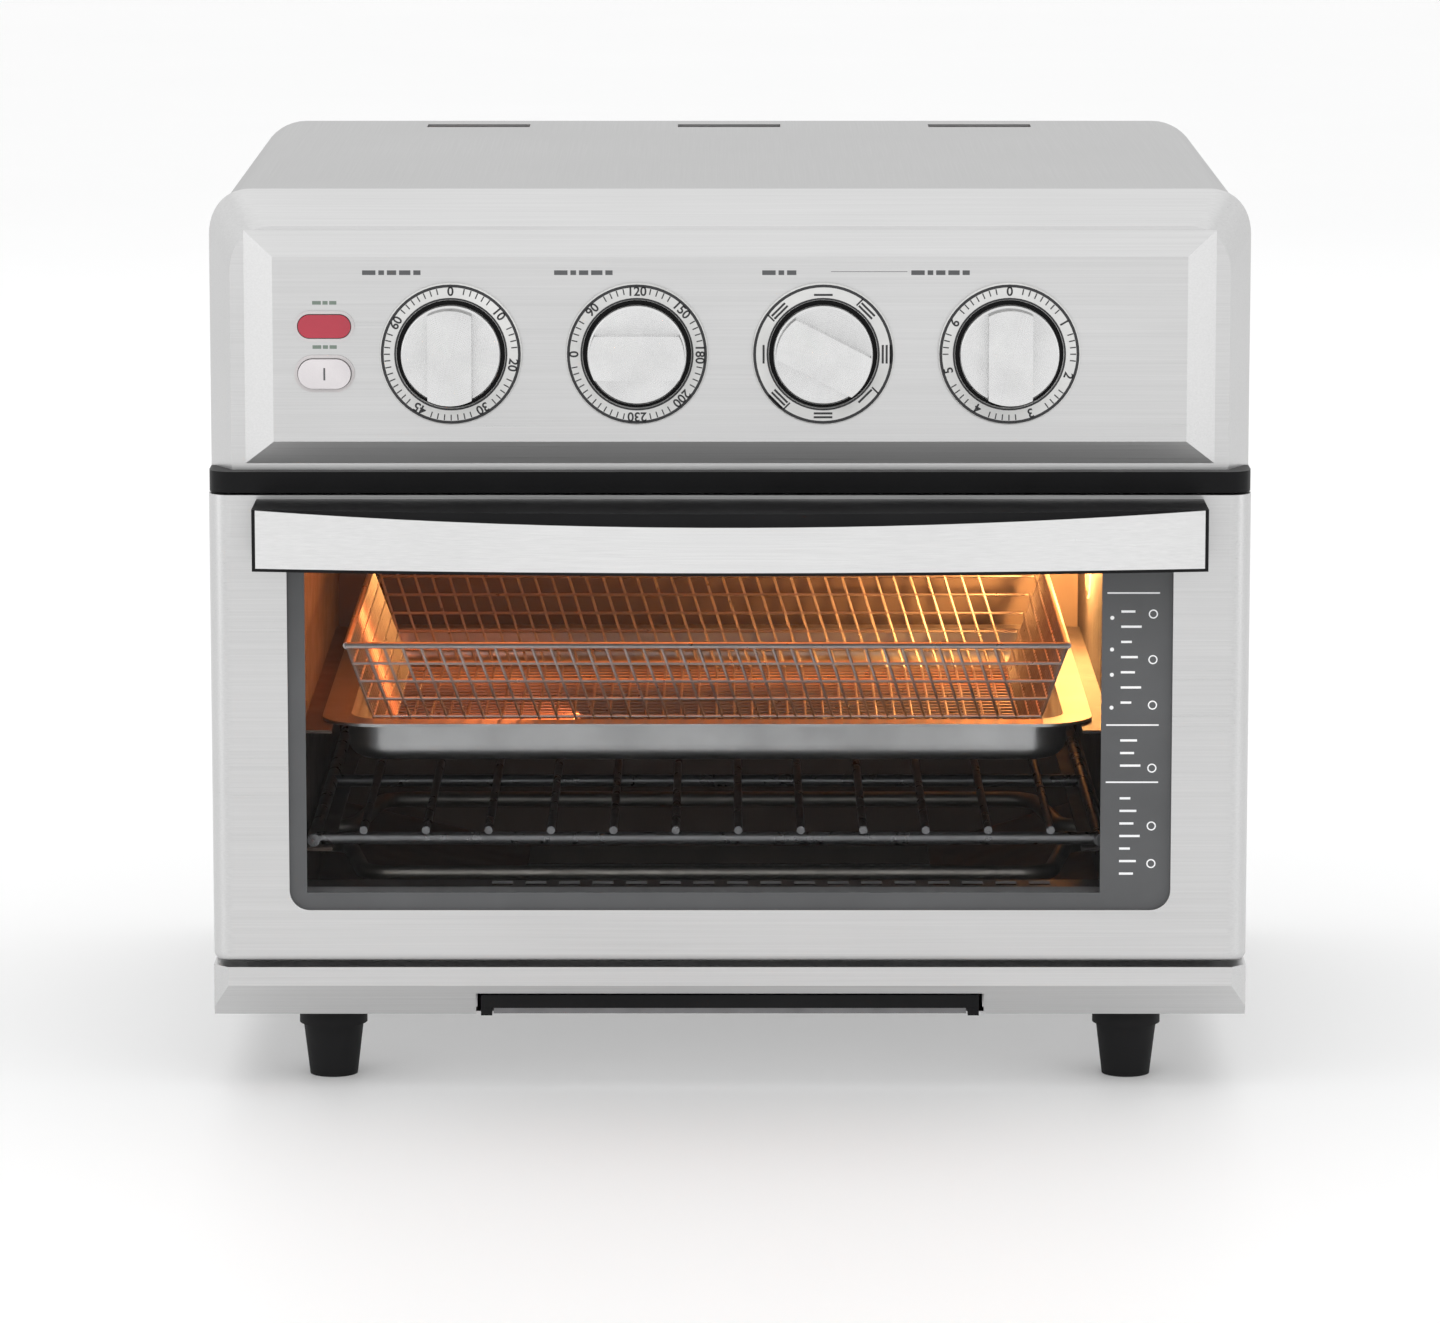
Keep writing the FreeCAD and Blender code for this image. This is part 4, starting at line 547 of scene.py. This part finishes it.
def panel_dashes():
    """Dashes in place of words over the dials, and the fine line that joins the last two."""
    middle = dial_z + DASH_RISE * MM
    work = bmesh.new()
    for left, right in DASH_ROWS:
        at = left
        for width in DASH_WIDTHS:
            if at + width > right:
                break
            face_bar(work, at * MM, (at + width) * MM, middle - 0.9 * MM, middle + 0.9 * MM)
            at += width + DASH_GAP
    face_bar(work, 39 * MM, 68.5 * MM, middle + 0.3 * MM, middle + 0.5 * MM)
    piece("panel_dashes", work, grey_ink, "oven")


def pill_marks():
    """Dashes over the lens and the light button, and a tick mark on the button."""
    work = bmesh.new()
    for name in ("power_lens", "light_button"):
        low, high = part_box(name)
        middle, line = (low.x + high.x) / 2, high.z + PILL_DASH_RISE * MM
        for left, right in PILL_DASHES:
            face_bar(work, middle + left * MM, middle + right * MM, line - 0.7 * MM, line + 0.7 * MM)
    piece("pill_dashes", work, green_ink, "oven")
    low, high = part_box("light_button")
    middle = (low + high) / 2
    work = bmesh.new()
    face_bar(work, middle.x - 0.35 * MM, middle.x + 0.35 * MM, middle.z - 2.4 * MM,
             middle.z + 2.4 * MM, low.y)
    piece("button_mark", work, grey_ink, "light_button")


# ---- door glass print

GLASS_PRINT = 0.08 * MM
CLEAR_LEFT, CLEAR_RIGHT = -165.8 * MM, 145 * MM
CLEAR_BOTTOM, CLEAR_TOP = 80.4 * MM, 216 * MM
CHART_LINES = (199.3, 147.1, 124.4)
CHART_DOTS = (189.5, 177, 167, 154)
CHART_BARS = (192, 186, 180, 174, 168, 162, 156, 141, 136, 131, 118, 113, 108, 103, 98, 93, 88)
CHART_BAR_LENGTHS = (5.5, 8, 4.2, 6.6)
CHART_LEFT, CHART_BAR_LEFT, CHART_RING_X, CHART_RIGHT = 147, 152.5, 165, 167.5


def glass_border():
    """The dark border printed on the glass, wide on the right where the chart is."""
    low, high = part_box("door_glass")
    work = bmesh.new()
    for left, bottom, right, top in ((low.x, low.z, CLEAR_LEFT, high.z),
                                     (CLEAR_RIGHT, low.z, high.x, high.z),
                                     (CLEAR_LEFT, low.z, CLEAR_RIGHT, CLEAR_BOTTOM),
                                     (CLEAR_LEFT, CLEAR_TOP, CLEAR_RIGHT, high.z)):
        slab(work, (left, low.y - GLASS_PRINT, bottom), (right, low.y, top))
    piece("glass_border", work, grey_ink, "door")


def glass_chart():
    """The cooking chart's lines, dots, bars and rings, a little in front of the border."""
    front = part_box("door_glass")[0].y
    ahead, sunk = front - 1.5 * GLASS_PRINT, front - GLASS_PRINT / 2
    work = bmesh.new()
    for z in CHART_LINES:
        slab(work, (CHART_LEFT * MM, ahead, (z - 0.3) * MM), (CHART_RIGHT * MM, sunk, (z + 0.3) * MM))
    for z in CHART_DOTS:
        verts = bmesh.ops.create_cone(work, cap_ends=True, segments=12, radius1=0.8 * MM,
                                      radius2=0.8 * MM, depth=GLASS_PRINT)["verts"]
        bmesh.ops.rotate(work, verts=verts, matrix=Matrix.Rotation(math.radians(90), 3, "X"))
        bmesh.ops.translate(work, verts=verts,
                            vec=((CHART_LEFT + 2) * MM, ahead + GLASS_PRINT / 2, z * MM))
    for n, z in enumerate(CHART_BARS):
        right = CHART_BAR_LEFT + CHART_BAR_LENGTHS[n % len(CHART_BAR_LENGTHS)]
        slab(work, (CHART_BAR_LEFT * MM, ahead, (z - 0.45) * MM), (right * MM, sunk, (z + 0.45) * MM))
        if n % 3 == 0:
            washer(work, (CHART_RING_X * MM, (z - 1) * MM), 1.3 * MM, 1.8 * MM, ahead, GLASS_PRINT)
    piece("glass_chart", work, white_ink, "door")


crumb_tray_gap_shade()
rear_flange()
tray_baffle()
air_basket()
dial_print("oven_timer", TIMER_MARKS)
dial_print("thermostat", HEAT_MARKS)
dial_print("toast_timer", TOAST_MARKS)
function_print()
dial_gap_shade()
panel_dashes()
pill_marks()
glass_border()
glass_chart()

# ---- stage, lights and camera, in metres

FLOOR_HALF = 30
MIDDLE = (0, 0, 0.2)
CAMERA_PLACE, CAMERA_AIM = (-0.0039, -2.84, 0.6114), (-0.0039, -0.153, 0.1726)
CAMERA_LENS, CAMERA_SENSOR = 174.6, 36
LAMP_ORANGE = (1.0, 0.47, 0.14)
HEAT_ORANGE = (1.0, 0.26, 0.06)
HEAT_RED = (1.0, 0.22, 0.06)
# each soft light's name, place, width and height, and watts
SOFTBOXES = (
    ("top_softbox", (0, -0.2, 1.9), (2.4, 1.8), 3),
    ("front_softbox", (0, -3.4, 1.3), (3.0, 2.0), 6),
    ("left_strip", (-2.0, -0.9, 0.9), (0.7, 2.0), 4),
    ("right_strip", (2.0, -0.9, 0.9), (0.7, 2.0), 3.4),
    ("back_fill", (0, 2.6, 1.5), (2.4, 1.2), 3),
)


def floor():
    """A pale floor, far wider than the view."""
    work = bmesh.new()
    bmesh.ops.create_grid(work, x_segments=1, y_segments=1, size=FLOOR_HALF)
    mesh = bpy.data.meshes.new("floor")
    work.to_mesh(mesh)
    work.free()
    ground = bpy.data.objects.new("floor", mesh)
    made = finish_called("pale_floor", Roughness=0.55)
    join(made, ramp(made, grain(made, (3, 3, 3)), (0.96, 0.96, 0.96), (0.97, 0.97, 0.97)),
         shader_of(made).inputs["Base Color"])
    mesh.materials.append(made)
    bpy.context.scene.collection.objects.link(ground)


def lit(name, data, place):
    light = bpy.data.objects.new(name, data)
    bpy.context.scene.collection.objects.link(light)
    light.location = place
    return light


def panel_light(name, place, aim, size, power, colour=(1, 1, 1)):
    """A rectangle of light that faces aim."""
    data = bpy.data.lights.new(name, "AREA")
    data.shape, data.size, data.size_y = "RECTANGLE", *size
    data.energy, data.color = power, colour
    light = lit(name, data, place)
    light.rotation_euler = (Vector(aim) - Vector(place)).to_track_quat("-Z", "Y").to_euler()
    return light


def hidden(light):
    """Keeps a light in the cavity from showing as a shape, straight or through the glass."""
    light.visible_camera = light.visible_transmission = False


def cavity_lights():
    """The lamp on the right wall, and the heaters' glow over the pan and on the left wall."""
    low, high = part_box("lamp_lens")
    bulb = bpy.data.lights.new("oven_lamp", "POINT")
    bulb.energy, bulb.color, bulb.shadow_soft_size = 2.9, LAMP_ORANGE, 4 * MM
    hidden(lit("oven_lamp", bulb, (low.x - 5 * MM, (low.y + high.y) / 2, (low.z + high.z) / 2)))
    under_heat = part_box("upper_heaters")[0].z - 3 * MM
    for side, y in (("front", -0.08), ("rear", 0.108)):
        hidden(panel_light(f"heater_glow_{side}", (-9 * MM, y, under_heat), (-9 * MM, y, 0),
                           (0.26, 0.03), 0.04, HEAT_ORANGE))
    wall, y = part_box("cavity_left")[1].x, -20 * MM
    hidden(panel_light("heater_glow_left", (wall + 35 * MM, y, under_heat),
                       (wall, y, under_heat - 27 * MM), (0.02, 0.2), 0.19, HEAT_RED))


def camera():
    data = bpy.data.cameras.new("camera")
    data.lens, data.sensor_width = CAMERA_LENS, CAMERA_SENSOR
    data.clip_start, data.clip_end = 0.05, 100
    view = bpy.data.objects.new("camera", data)
    bpy.context.scene.collection.objects.link(view)
    view.location = CAMERA_PLACE
    view.rotation_euler = (Vector(CAMERA_AIM) - view.location).to_track_quat("-Z", "Y").to_euler()
    bpy.context.scene.camera = view


floor()
for name, place, size, power in SOFTBOXES:
    panel_light(name, place, MIDDLE, size, power)
under = panel_light("under_fill", (0, 0, 0.024), (0, 0, 0), (0.36, 0.28), 0.08)
under.visible_camera = False
cavity_lights()

world = bpy.data.worlds.new("studio")
world.use_nodes = True
world.node_tree.nodes["Background"].inputs["Color"].default_value = (1, 1, 1, 1)
world.node_tree.nodes["Background"].inputs["Strength"].default_value = 1.0
bpy.context.scene.world = world
bpy.context.scene.view_settings.view_transform = "Standard"
camera()
